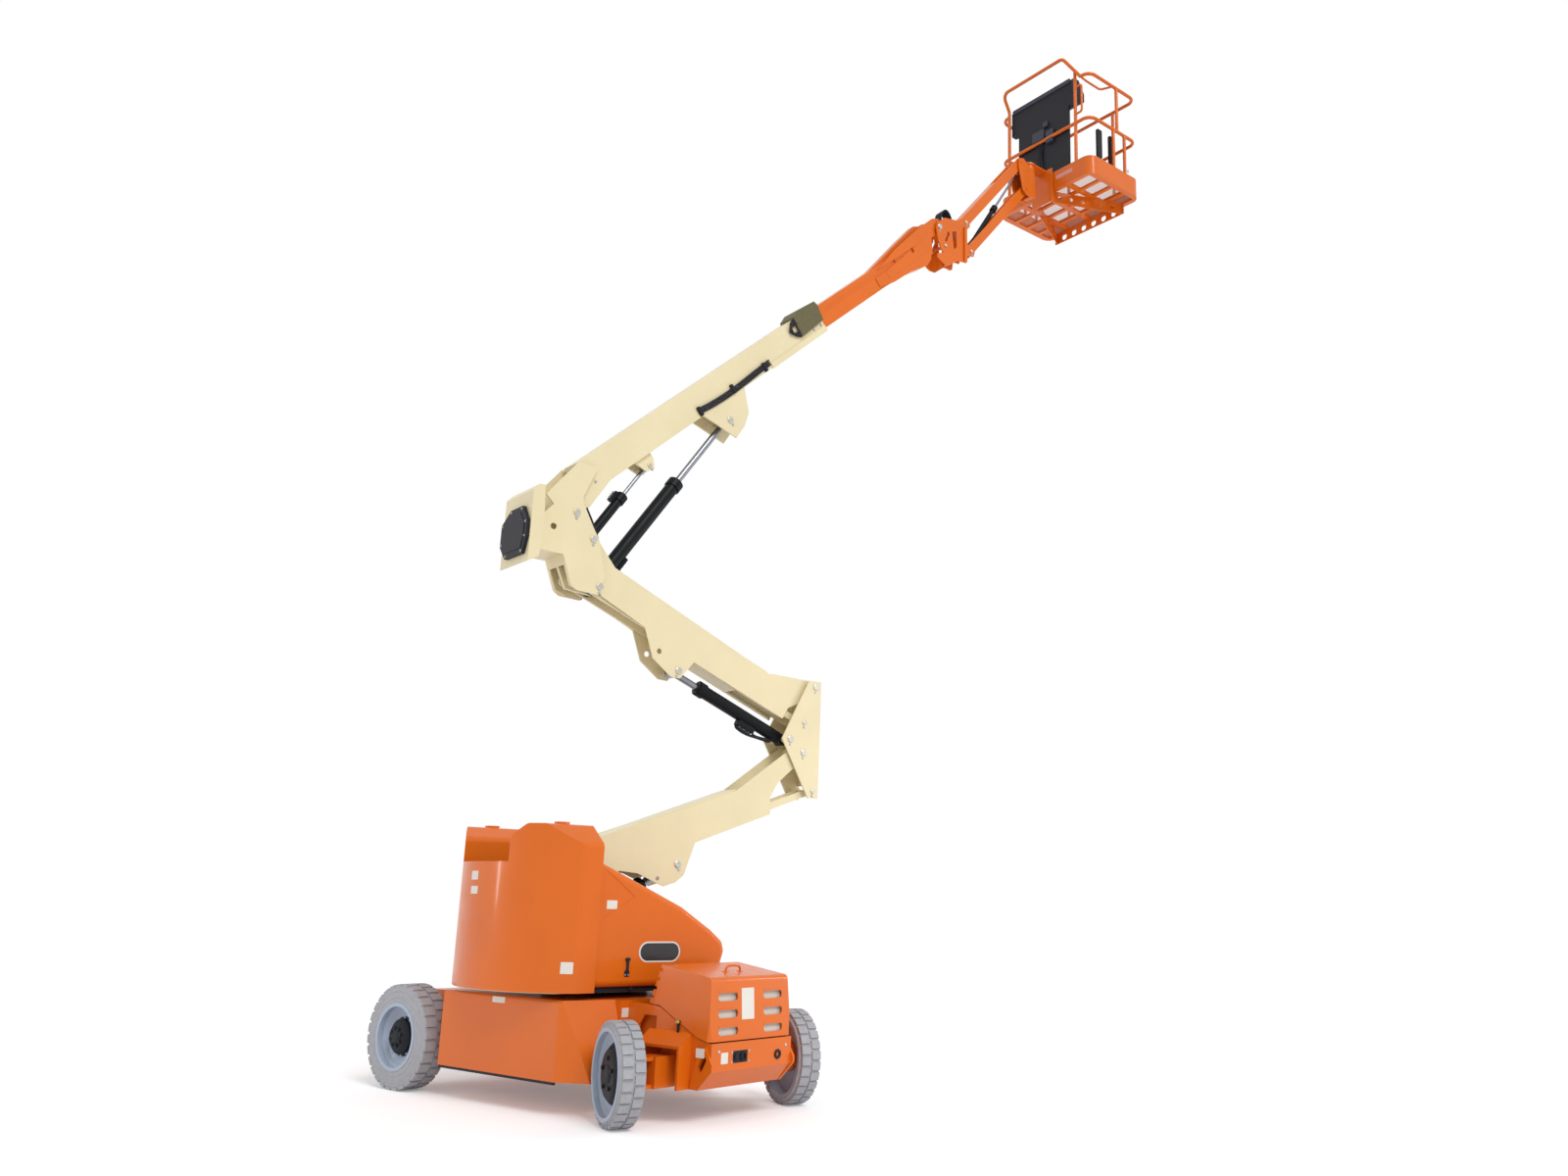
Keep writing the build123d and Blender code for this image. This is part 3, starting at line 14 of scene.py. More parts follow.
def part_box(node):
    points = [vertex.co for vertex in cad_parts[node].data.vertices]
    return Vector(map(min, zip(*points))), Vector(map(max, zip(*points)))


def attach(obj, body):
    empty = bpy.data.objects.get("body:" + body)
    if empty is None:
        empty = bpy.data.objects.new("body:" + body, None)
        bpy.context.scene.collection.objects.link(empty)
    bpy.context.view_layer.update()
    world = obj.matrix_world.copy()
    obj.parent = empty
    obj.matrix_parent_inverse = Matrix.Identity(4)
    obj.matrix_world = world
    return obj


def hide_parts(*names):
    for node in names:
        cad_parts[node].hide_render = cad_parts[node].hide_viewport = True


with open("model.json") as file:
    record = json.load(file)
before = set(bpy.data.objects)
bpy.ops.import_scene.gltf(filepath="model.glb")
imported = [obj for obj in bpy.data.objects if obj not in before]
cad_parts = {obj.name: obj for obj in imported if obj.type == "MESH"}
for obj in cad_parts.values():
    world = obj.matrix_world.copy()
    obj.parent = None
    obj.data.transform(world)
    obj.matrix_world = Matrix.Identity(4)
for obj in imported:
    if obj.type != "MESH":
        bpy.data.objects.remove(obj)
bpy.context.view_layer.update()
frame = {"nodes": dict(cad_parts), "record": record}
nodes = frame["nodes"]
print("frame of", len(nodes), "nodes")

# %% [markdown]
# ## The camera
# A person stands in front of the machine's right corner with the camera at chest height and tips it
# up, so the wheels are near and the platform is far away overhead. A camera is a matrix: its
# columns are the view's right, the view's up, the way backwards, and where it stands. Building
# the matrix from a heading, a pitch and a roll keeps those three angles readable.

# %% Camera
STANDS_AT = Vector((6.702, -5.854, 1.250))
heading = math.radians(127.32)
pitch = math.radians(14.16)
roll = math.radians(1.33)
ahead = Vector((math.cos(heading) * math.cos(pitch), math.sin(heading) * math.cos(pitch), math.sin(pitch)))
level = Vector((math.sin(heading), -math.cos(heading), 0))
rise = level.cross(ahead)
view_right = math.cos(roll) * level + math.sin(roll) * rise
view_up = -math.sin(roll) * level + math.cos(roll) * rise
lens_data = bpy.data.cameras.new("camera")
lens_data.lens = 29.77
lens_data.shift_x = -0.063
lens_data.shift_y = -0.0113
lens_data.clip_end = 200
camera = bpy.data.objects.new("camera", lens_data)
place = Matrix((view_right, view_up, -ahead)).transposed().to_4x4()
place.translation = STANDS_AT
camera.matrix_world = place
bpy.context.scene.collection.objects.link(camera)
bpy.context.scene.camera = camera
print("camera looks along", [round(v, 3) for v in ahead])

# %% [markdown]
# ## The studio
# A machine looks its best under a large even light, where paint shows its colour and not the
# lamp. The world gives most of the light; one wide lamp from high on the camera's side models the
# plates; two narrow strips put a bright line on round corners; the floor is pale and catches a soft
# shadow.

# %% Studio
def colour(red, green, blue):
    """A colour as it looks on a screen, 0 to 255, turned to the linear values that shaders want."""
    out = []
    for value in (red, green, blue):
        v = value / 255
        out.append(v / 12.92 if v <= 0.04045 else ((v + 0.055) / 1.055) ** 2.4)
    return (*out, 1.0)


def seen_rays(tree):
    """1 for the rays that look at the backdrop: from the camera, off a gloss, or through glass."""
    path = tree.nodes.new("ShaderNodeLightPath")
    seen_by = path.outputs["Is Camera Ray"]
    for ray in ("Is Glossy Ray", "Is Transmission Ray"):
        either = tree.nodes.new("ShaderNodeMath")
        either.operation = "MAXIMUM"
        tree.links.new(seen_by, either.inputs[0])
        tree.links.new(path.outputs[ray], either.inputs[1])
        seen_by = either.outputs[0]
    return seen_by


WHITE = (1, 1, 1, 1)
SKY_LIGHT = 0.6        # how strongly the sky lights the machine
SKY_SEEN = 1.0         # how bright it looks behind the machine
bpy.context.scene.view_settings.view_transform = "Standard"
world = bpy.data.worlds.new("studio")
bpy.context.scene.world = world
world.use_nodes = True
air = world.node_tree.nodes
wires = world.node_tree.links
air.clear()
sky_out = air.new("ShaderNodeOutputWorld")
soft = air.new("ShaderNodeBackground")
soft.inputs["Color"].default_value = WHITE
soft.inputs["Strength"].default_value = SKY_LIGHT
seen = air.new("ShaderNodeBackground")
seen.inputs["Color"].default_value = WHITE
seen.inputs["Strength"].default_value = SKY_SEEN
choose = air.new("ShaderNodeMixShader")
wires.new(seen_rays(world.node_tree), choose.inputs[0])
wires.new(soft.outputs[0], choose.inputs[1])
wires.new(seen.outputs[0], choose.inputs[2])
wires.new(choose.outputs[0], sky_out.inputs[0])

sun_data = bpy.data.lights.new("high_lamp", "SUN")
sun_data.energy = 1.45
sun_data.angle = math.radians(25)
sun = bpy.data.objects.new("high_lamp", sun_data)
sun.rotation_euler = (math.radians(48), math.radians(8), math.radians(62))
bpy.context.scene.collection.objects.link(sun)

STRIP_ENERGY = 70
STRIP_WIDTH = 0.16
STRIP_HEIGHT = 2.6
STRIP_FALL = 1.4        # how far a strip's light falls on its way to the swing axis
for name, x, y, tall in (("front_strip", 5.2, 5.4, 3.4), ("tail_strip", -5.0, -6.2, 3.0)):
    strip_data = bpy.data.lights.new(name, "AREA")
    strip_data.shape = "RECTANGLE"
    strip_data.size = STRIP_WIDTH
    strip_data.size_y = tall
    strip_data.energy = STRIP_ENERGY
    strip = bpy.data.objects.new(name, strip_data)
    strip.location = (x, y, STRIP_HEIGHT)
    strip.rotation_euler = Vector((x, y, STRIP_FALL)).to_track_quat("Z", "Y").to_euler()
    bpy.context.scene.collection.objects.link(strip)

bpy.ops.mesh.primitive_plane_add(size=120)
floor = bpy.context.object
floor.name = "floor"
pale = bpy.data.materials.new("pale_floor")
pale.use_nodes = True
lit_floor = pale.node_tree.nodes["Principled BSDF"]
lit_floor.inputs["Base Color"].default_value = (0.93, 0.93, 0.94, 1)
lit_floor.inputs["Roughness"].default_value = 1.0
lit_floor.inputs["Specular IOR Level"].default_value = 0.0
# the floor is seen a little brighter than it is lit, so that it runs out into the white backdrop
glow = pale.node_tree.nodes.new("ShaderNodeEmission")
glow.inputs["Strength"].default_value = 0.2
nothing = pale.node_tree.nodes.new("ShaderNodeEmission")
nothing.inputs["Strength"].default_value = 0.0
pick = pale.node_tree.nodes.new("ShaderNodeMixShader")
total = pale.node_tree.nodes.new("ShaderNodeAddShader")
floor_wires = pale.node_tree.links
floor_wires.new(seen_rays(pale.node_tree), pick.inputs[0])
floor_wires.new(nothing.outputs[0], pick.inputs[1])
floor_wires.new(glow.outputs[0], pick.inputs[2])
floor_wires.new(lit_floor.outputs[0], total.inputs[0])
floor_wires.new(pick.outputs[0], total.inputs[1])
floor_wires.new(total.outputs[0], pale.node_tree.nodes["Material Output"].inputs["Surface"])
floor.data.materials.append(pale)
print("lamps:", len(bpy.data.lights))

# %% [markdown]
# ## Finishes
# Most of the machine wears one of two stoved paints, orange and cream. Sprayed paint is never a
# single flat colour: it is a little thinner in places, it has a fine orange-peel skin, and its gloss
# is uneven. One function builds such a paint from noise read on Object coordinates, so that the
# pattern stays put on every piece and in every view. Metal and rubber share its helpers.

# %% Paint and metal
def shader(name):
    """A new material with its Principled shader, and short names for its nodes and links."""
    material = bpy.data.materials.new(name)
    material.use_nodes = True
    tree = material.node_tree
    return material, tree, tree.nodes["Principled BSDF"]


def noise(tree, scale, detail=3.0, roughness=0.55):
    """Noise over the object's own coordinates."""
    where = tree.nodes.new("ShaderNodeTexCoord")
    texture = tree.nodes.new("ShaderNodeTexNoise")
    texture.inputs["Scale"].default_value = scale
    texture.inputs["Detail"].default_value = detail
    texture.inputs["Roughness"].default_value = roughness
    tree.links.new(where.outputs["Object"], texture.inputs["Vector"])
    return texture


def ramp(tree, source, stops):
    """A colour ramp over source, with stops of (position, colour)."""
    node = tree.nodes.new("ShaderNodeValToRGB")
    band = node.color_ramp
    while len(band.elements) < len(stops):
        band.elements.new(0.5)
    for element, (position, tint) in zip(band.elements, stops):
        element.position = position
        element.color = tint
    tree.links.new(source, node.inputs[0])
    return node


def patches(tree, bsdf, tint, share, scale, detail, roughness=0.55, full=0.7):
    """A base colour in soft patches, from a darker share of a tint to the full tint."""
    cloud = noise(tree, scale, detail, roughness)
    dark = (tint[0] * share, tint[1] * share, tint[2] * share, 1)
    tone = ramp(tree, cloud.outputs["Fac"], [(0.3, dark), (full, tint)])
    tree.links.new(tone.outputs[0], bsdf.inputs["Base Color"])


def skin(tree, bsdf, scale, detail, strength, depth, roughness=0.55):
    """A fine relief over the whole surface, its depth in metres."""
    grain = noise(tree, scale, detail, roughness)
    relief = tree.nodes.new("ShaderNodeBump")
    relief.inputs["Strength"].default_value = strength
    relief.inputs["Distance"].default_value = depth
    tree.links.new(grain.outputs["Fac"], relief.inputs["Height"])
    tree.links.new(relief.outputs[0], bsdf.inputs["Normal"])


def paint(name, tint, roughness=0.32, coat=0.35, peel=0.12, spread=0.93, shine=0.5):
    """Sprayed paint: patches of about 0.4 m, a fine peel and an uneven gloss."""
    material, tree, bsdf = shader(name)
    patches(tree, bsdf, tint, spread, 2.3, 4)
    skin(tree, bsdf, 420, 2, peel, 0.002)
    wear = noise(tree, 9, 5)
    glossy, dull = [(value, value, value, 1) for value in (roughness, roughness + 0.14)]
    gloss = ramp(tree, wear.outputs["Fac"], [(0.35, glossy), (0.75, dull)])
    tree.links.new(gloss.outputs[0], bsdf.inputs["Roughness"])
    bsdf.inputs["Coat Weight"].default_value = coat
    bsdf.inputs["Specular IOR Level"].default_value = shine
    bsdf.inputs["Coat Roughness"].default_value = 0.12
    return material


def metal(name, tint, roughness):
    """Bare or plated metal, a little clouded."""
    material, tree, bsdf = shader(name)
    patches(tree, bsdf, tint, 0.86, 14, 4)
    bsdf.inputs["Metallic"].default_value = 1.0
    bsdf.inputs["Roughness"].default_value = roughness
    skin(tree, bsdf, 300, 2, 0.05, 0.001)
    return material


def rubber(name, tint, roughness, speckle=0.85):
    """Rubber, moulded plastic and film: speckled, with a pebbled skin and little shine."""
    material, tree, bsdf = shader(name)
    patches(tree, bsdf, tint, speckle, 30, 6, 0.7, full=0.65)
    bsdf.inputs["Roughness"].default_value = roughness
    bsdf.inputs["Specular IOR Level"].default_value = 0.25
    skin(tree, bsdf, 260, 5, 0.35, 0.002, 0.7)
    return material


orange = paint("orange_stove_paint", colour(221, 105, 17), roughness=0.3, coat=0.3, peel=0.05, shine=0.22)
cream = paint("cream_stove_paint", colour(229, 215, 174), roughness=0.38, coat=0.2)
rim_grey = paint("rim_grey_paint", colour(166, 178, 196), roughness=0.42, coat=0.1)
cylinder_black = paint("cylinder_black_paint", colour(17, 20, 24), roughness=0.4, coat=0.03, shine=0.12)
dark_steel = paint("dark_steel_paint", colour(30, 32, 37), roughness=0.5, coat=0.0, shine=0.2)
iron = paint("weight_iron_paint", colour(70, 68, 66), roughness=0.6, coat=0.0)
dark_plastic = rubber("dark_moulded_plastic", colour(25, 26, 34), 0.5)
tyre_grey = rubber("grey_tyre_rubber", colour(172, 173, 178), 0.82)
black_rubber = rubber("black_rubber", colour(34, 35, 42), 0.6)
chrome = metal("hard_chrome", (0.27, 0.28, 0.31, 1), 0.3)
mesh_paint = paint("mesh_floor_paint", colour(206, 150, 130), roughness=0.5, coat=0.0)
khaki = rubber("khaki_moulding", colour(104, 98, 70), 0.55)
print("finishes:", len(bpy.data.materials))

# %% [markdown]
# ## Which piece wears what
# The record names a finish slot for every node. A table from slot to material dresses the whole
# frame in a single loop, and a node that the table doesn't know stops the script with a plain name.

# %% Dress the frame
FINISH = {
    "orange_paint": orange,
    "cream_paint": cream,
    "dark_plastic": dark_plastic,
    "dark_steel": dark_steel,
    "weight_iron": iron,
    "tyre_grey": tyre_grey,
    "rim_paint": rim_grey,
    "rubber_strip": black_rubber,
    "cylinder_black": cylinder_black,
    "rod_chrome": chrome,
    "mesh_steel": mesh_paint,
    "khaki_plastic": khaki,
}
slot_of = {row["node"]: row["material_slot"] for row in frame["record"]["subparts"]}
for name, piece in nodes.items():
    piece.data.materials.clear()
    piece.data.materials.append(FINISH[slot_of[name]])
print("dressed", len(nodes), "nodes")

# %% [markdown]
# ## Finding places on the machine
# Small parts sit on big ones, so their places come from the frame. The joints in the record give
# each pin, the angle between two pins gives each arm, and a ray cast against a node's own mesh gives
# the exact spot and slope of its surface, even where a hood curves.

# %% Places
from mathutils.bvhtree import BVHTree

joints = {j["name"]: j for j in frame["record"]["behaviour"]["joints"]}
UP = Vector((0, 0, 1))
BOOM_RIGHT = Vector(joints["main_lift"]["axis"]).normalized()
BOOM_FORWARD = UP.cross(BOOM_RIGHT)


def pin(name):
    """Where a joint's pin crosses the machine's middle plane."""
    return Vector(joints[name]["pos_m"])


class Member:
    """A straight arm: places along it, above its pin line and out to its right, in millimetres."""

    def __init__(self, start, along):
        self.start = start
        self.along = along.normalized()
        self.above = BOOM_RIGHT.cross(self.along)

    def __call__(self, s, n, right=0.0):
        return self.start + (self.along * s + self.above * n + BOOM_RIGHT * right) / 1000

    def route(self, places, right):
        """A line of places, all as far out to the right."""
        return [self(s, n, right) for s, n in places]


table = Member(Vector((0, 0, 0)), BOOM_FORWARD)
lower = Member(pin("lower_lift"), pin("riser_level") - pin("lower_lift"))
riser = Member(pin("riser_level"), BOOM_FORWARD)
mid = Member(pin("upright_level"), pin("mid_lift") - pin("upright_level"))
upright = Member(pin("upright_level"), BOOM_FORWARD)
main = Member(pin("main_lift"), Vector(joints["telescope"]["axis"]))
bracket = Member(pin("bracket_level"), BOOM_FORWARD)
jib = Member(pin("jib_lift"), pin("head_level") - pin("jib_lift"))
jib_head = Member(pin("platform_rotate"), BOOM_FORWARD)

trees = {}


def touch(node, start, toward):
    """The spot and the outward direction where a ray from start first meets a node."""
    if node not in trees:
        mesh = nodes[node].data
        faces = [tuple(p.vertices) for p in mesh.polygons]
        trees[node] = BVHTree.FromPolygons([v.co.copy() for v in mesh.vertices], faces)
    place, normal = trees[node].ray_cast(start, (toward - start).normalized())[:2]
    if place is None:
        raise RuntimeError("the ray misses " + node)
    if normal.dot(toward - start) > 0:
        normal = -normal
    return place, normal.normalized()


slopes = [round(math.degrees(math.asin(arm.along.z)), 1) for arm in (lower, mid, main, jib)]
print("arms rise at", slopes, "degrees")

# %% [markdown]
# ## Three ways to make a small part
# Nearly every small part is one of three kinds. A turned part is a profile spun round an axis. A
# plate is an outline with a thickness and a softened edge. A hose is a round section swept along a
# curve. Each gets a function that builds a clean closed mesh in its real place and hands it
# to the body that carries it.

# %% Turned parts, plates and hoses
import bmesh


def keep(mesh, name, body, material, smooth=False):
    """Puts a finished mesh into the scene, on the body that carries it."""
    if not mesh.materials:
        mesh.materials.append(material)
    for face in mesh.polygons:
        face.use_smooth = smooth
    piece = bpy.data.objects.new(name, mesh)
    bpy.context.scene.collection.objects.link(piece)
    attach(piece, body)
    return piece


def side_axes(axis):
    """Two directions square to an axis and to each other."""
    helper = UP if abs(axis.z) < 0.9 else Vector((1, 0, 0))
    first = helper.cross(axis).normalized()
    return first, axis.cross(first).normalized()


def lathe(works, centre, axis, profile, steps=32):
    """Spins (radius, height) in millimetres round an axis; a radius of 0 closes an end to a point."""
    axis = axis.normalized()
    u, v = side_axes(axis)
    spokes = [u * math.cos(a) + v * math.sin(a) for a in (2 * math.pi * k / steps for k in range(steps))]
    rings = []
    for radius, height in profile:
        base = centre + axis * height / 1000
        if radius == 0:
            rings.append([works.verts.new(base)])
        else:
            rings.append([works.verts.new(base + spoke * radius / 1000) for spoke in spokes])
    for low, high in zip(rings, rings[1:]):
        for k in range(steps):
            m = (k + 1) % steps
            if len(low) == 1:
                works.faces.new((low[0], high[m], high[k]))
            elif len(high) == 1:
                works.faces.new((low[k], low[m], high[0]))
            else:
                works.faces.new((low[k], low[m], high[m], high[k]))


def finished(works, name):
    """Turns a bmesh into a mesh: doubles merged, faces pointing outwards."""
    bmesh.ops.remove_doubles(works, verts=works.verts, dist=1e-6)
    bmesh.ops.recalc_face_normals(works, faces=works.faces)
    mesh = bpy.data.meshes.new(name)
    works.to_mesh(mesh)
    works.free()
    return mesh


def turned(name, body, material, parts, steps=32):
    """One piece of several turned parts: (centre, axis, profile)."""
    works = bmesh.new()
    for centre, axis, profile in parts:
        lathe(works, centre, axis, profile, steps)
    return keep(finished(works, name), name, body, material)


def rounded(width, height, radius, corner=5):
    """A rectangle with round corners, as points in millimetres."""
    points = []
    for cx, cy, start in ((1, 1, 0), (-1, 1, 90), (-1, -1, 180), (1, -1, 270)):
        for k in range(corner + 1):
            a = math.radians(start + 90 * k / corner)
            x = cx * (width / 2 - radius) + radius * math.cos(a)
            y = cy * (height / 2 - radius) + radius * math.sin(a)
            points.append((x, y))
    return points


def slab(works, centre, across, upward, points, low, high, soft=0.0):
    """An outline given a thickness from low to high along its outward direction, edges softened."""
    outward = across.cross(upward).normalized()
    layers = [(low, 0.0), (high - soft, 0.0), (high, soft)] if soft else [(low, 0.0), (high, 0.0)]
    mx = sum(p[0] for p in points) / len(points)
    my = sum(p[1] for p in points) / len(points)
    rings = []
    for level, inset in layers:
        ring = []
        for x, y in points:
            reach = math.hypot(x - mx, y - my)
            pull = 1 - inset / max(reach, 1e-6)
            px, py = mx + (x - mx) * pull, my + (y - my) * pull
            ring.append(works.verts.new(centre + (across * px + upward * py + outward * level) / 1000))
        rings.append(ring)
    for a, b in zip(rings, rings[1:]):
        for k in range(len(a)):
            m = (k + 1) % len(a)
            works.faces.new((a[k], a[m], b[m], b[k]))
    works.faces.new(list(reversed(rings[0])))
    works.faces.new(rings[-1])


def plate(name, body, material, centre, across, upward, points, low, high, soft=0.0):
    """A piece of one slab."""
    works = bmesh.new()
    slab(works, centre, across, upward, points, low, high, soft)
    return keep(finished(works, name), name, body, material)


def hose(name, body, material, routes, radius):
    """Round hoses along smooth curves; each route is a list of places."""
    curve = bpy.data.curves.new(name, "CURVE")
    curve.dimensions = "3D"
    curve.bevel_depth = radius / 1000
    curve.bevel_resolution = 3
    curve.resolution_u = 6
    curve.use_fill_caps = True
    for route in routes:
        line = curve.splines.new("NURBS")
        line.points.add(len(route) - 1)
        for point, place in zip(line.points, route):
            point.co = (*place, 1)
        line.order_u = 4
        line.use_endpoint_u = True
    draft = bpy.data.objects.new(name, curve)
    bpy.context.scene.collection.objects.link(draft)
    bpy.context.view_layer.update()
    mesh = bpy.data.meshes.new_from_object(draft.evaluated_get(bpy.context.evaluated_depsgraph_get()))
    bpy.data.objects.remove(draft)
    mesh.materials.clear()
    return keep(mesh, name, body, material, smooth=True)


# %% [markdown]
# ## Bolts by Geometry Nodes
# A lift is held together by hex bolts that differ only in place and size. Modelling each by hand
# would be slow and uneven. A Geometry Nodes tree puts one head and one washer on every point of a
# cloud, turned to the direction that the point carries, so a list of places is all that a group of
# bolts needs. The result is made a plain mesh, because the finished model keeps no modifiers.

# %% Bolt tree
def socket(tree, name, kind, value=None, out=False):
    """A named input or output of a tree; gives its identifier back."""
    item = tree.interface.new_socket(name, in_out="OUTPUT" if out else "INPUT", socket_type=kind)
    if value is not None:
        item.default_value = value
    return item.identifier


def calc(tree, kind, a, b):
    """A sum inside a tree, of sockets or plain numbers."""
    node = tree.nodes.new("ShaderNodeMath")
    node.operation = kind
    for index, value in enumerate((a, b)):
        if isinstance(value, (int, float)):
            node.inputs[index].default_value = value
        else:
            tree.links.new(value, node.inputs[index])
    return node.outputs[0]


bolts_tree = bpy.data.node_groups.new("bolt_heads", "GeometryNodeTree")
socket(bolts_tree, "Points", "NodeSocketGeometry")
SIZE = socket(bolts_tree, "Head radius", "NodeSocketFloat", 0.009)
HEIGHT = socket(bolts_tree, "Head height", "NodeSocketFloat", 0.007)
FINISH_IN = socket(bolts_tree, "Finish", "NodeSocketMaterial")
socket(bolts_tree, "Bolts", "NodeSocketGeometry", out=True)
make = bolts_tree.nodes.new
join_up = bolts_tree.links.new
given = make("NodeGroupInput")
result = make("NodeGroupOutput")
cloud = make("GeometryNodeMeshToPoints")
hexagon = make("GeometryNodeMeshCylinder")
hexagon.inputs["Vertices"].default_value = 6
washer = make("GeometryNodeMeshCylinder")
washer.inputs["Vertices"].default_value = 20
WASHER_WIDER = 1.45
WASHER_THINNER = 0.3
HEAD_RAISED = 0.6
raise_by = make("ShaderNodeCombineXYZ")
raised = make("GeometryNodeTransform")
both = make("GeometryNodeJoinGeometry")
direction = make("GeometryNodeInputNamedAttribute")
direction.data_type = "FLOAT_VECTOR"
direction.inputs["Name"].default_value = "facing"
aim = make("FunctionNodeAlignRotationToVector")
aim.axis = "Z"
scatter = make("GeometryNodeInstanceOnPoints")
real = make("GeometryNodeRealizeInstances")
coat = make("GeometryNodeSetMaterial")
join_up(given.outputs["Points"], cloud.inputs["Mesh"])
join_up(given.outputs["Head radius"], hexagon.inputs["Radius"])
join_up(given.outputs["Head height"], hexagon.inputs["Depth"])
join_up(calc(bolts_tree, "MULTIPLY", given.outputs["Head radius"], WASHER_WIDER), washer.inputs["Radius"])
join_up(calc(bolts_tree, "MULTIPLY", given.outputs["Head height"], WASHER_THINNER), washer.inputs["Depth"])
join_up(calc(bolts_tree, "MULTIPLY", given.outputs["Head height"], HEAD_RAISED), raise_by.inputs["Z"])
join_up(hexagon.outputs["Mesh"], raised.inputs["Geometry"])
join_up(raise_by.outputs[0], raised.inputs["Translation"])
join_up(raised.outputs[0], both.inputs[0])
join_up(washer.outputs["Mesh"], both.inputs[0])
join_up(direction.outputs["Attribute"], aim.inputs["Vector"])
join_up(cloud.outputs[0], scatter.inputs["Points"])
join_up(both.outputs[0], scatter.inputs["Instance"])
join_up(aim.outputs[0], scatter.inputs["Rotation"])
join_up(scatter.outputs[0], real.inputs[0])
join_up(real.outputs[0], coat.inputs["Geometry"])
join_up(given.outputs["Finish"], coat.inputs["Material"])
join_up(coat.outputs[0], result.inputs[0])


def settle(holder, tree, values):
    """Runs a tree on an object and keeps the result as a plain mesh."""
    tool = holder.modifiers.new("shape", "NODES")
    tool.node_group = tree
    for identifier, value in values.items():
        tool[identifier] = value
    bpy.context.view_layer.update()
    mesh = bpy.data.meshes.new_from_object(holder.evaluated_get(bpy.context.evaluated_depsgraph_get()))
    bpy.data.objects.remove(holder)
    return mesh


def bolts(name, body, material, places, radius=9.0, height=7.0):
    """Hex bolts at (place, outward direction)."""
    base = bpy.data.meshes.new(name + "_points")
    base.from_pydata([p for p, d in places], [], [])
    facing = base.attributes.new("facing", "FLOAT_VECTOR", "POINT")
    facing.data.foreach_set("vector", [c for p, d in places for c in d])
    holder = bpy.data.objects.new(name, base)
    bpy.context.scene.collection.objects.link(holder)
    mesh = settle(holder, bolts_tree, {SIZE: radius / 1000, HEIGHT: height / 1000, FINISH_IN: material})
    return keep(mesh, name, body, material)


zinc = metal("zinc_plated_steel", (0.55, 0.54, 0.5, 1), 0.35)
label_white = rubber("blank_label_film", colour(226, 222, 214), 0.4, 0.95)
label_pink = rubber("faded_label_film", colour(222, 160, 150), 0.45, 0.93)
lining = rubber("pale_hood_lining", colour(222, 214, 204), 0.85, 0.9)
yellow = paint("latch_yellow_paint", colour(226, 184, 60), roughness=0.4)
lid_grey = rubber("grey_moulded_lid", colour(62, 62, 74), 0.45)
gloss_black = paint("badge_black_enamel", colour(26, 24, 26), roughness=0.2)
print("bolt tree with", len(bolts_tree.nodes), "nodes")

# %% [markdown]
# ## Pin ends
# Each pivot pin of the arms shows a turned end on both sides, a chamfered cap with a dimple. A bolt in
# the plate below it keeps the pin from turning. The frame has the pins, which stand a little out of
# their plates; caps and bolts are thin parts on top.

# %% Pins
PINS = [
    # body, member, along, above, pin radius, how far out its end stands
    ("turntable", lower, 0, 0, 24, 132),
    ("turntable", table, -350, 1283, 16, 132),
    ("turntable", table, -380, 870, 24, 132),
    ("riser", riser, 0, 0, 24, 128),
    ("riser", riser, 97, -276, 16, 128),
    ("riser", riser, 97, 498, 24, 128),
    ("riser", riser, 0, 222, 16, 128),
    ("riser", riser, -124, 91, 24, 128),
    ("upright", upright, 0, 0, 24, 136),
    ("upright", upright, -137, 159, 24, 136),
    ("upright", upright, 73, -315, 24, 136),
    ("lower_arm", lower, 849, -440, 24, 104),
    ("mid_arm", mid, 990, -459, 24, 94),
    ("main_boom", main, 1550, -93, 24, 98),
    ("main_boom", main, 738, -28, 16, 70),
    ("fly_boom", bracket, 0, 0, 24, 106),
    ("jib_bracket", bracket, 329, 165, 16, 106),
    ("jib_bracket", bracket, 399, -100, 16, 106),
    ("jib_bracket", bracket, 73, -159, 14, 106),
]
by_body = {}
for body, member, along, above, radius, reach in PINS:
    by_body.setdefault(body, []).append((member, along, above, radius, reach))
for body, group in by_body.items():
    ends, heads = [], []
    for member, along, above, radius, reach in group:
        for side in (1, -1):
            face = member(along, above, side * reach)
            axis = BOOM_RIGHT * side
            rim, dimple = radius + 0.6, radius * 0.45
            cap = [(0, -1), (rim, -1), (rim, 1.2), (radius - 3, 3.4)]
            cap += [(dimple, 3.4), (radius * 0.4, 2), (0, 2)]
            ends.append((face, axis, cap))
            if radius > 15:
                drop = member.above * (radius + 15) / 1000
                sink = 0.0065 if radius > 20 else 0.0045
                heads.append((face - axis * sink - drop, axis))
    turned(body + "_pin_ends", body, zinc, ends, 28)
    bolts(body + "_keeper_bolts", body, zinc, heads, 8, 6)
print("pins dressed:", 2 * len(PINS))

# %% [markdown]
# ## Bolts in rows
# The boom's wear pads and covers are bolted from outside in short rows, and the cover on the upright
# is held by screws round its edge.

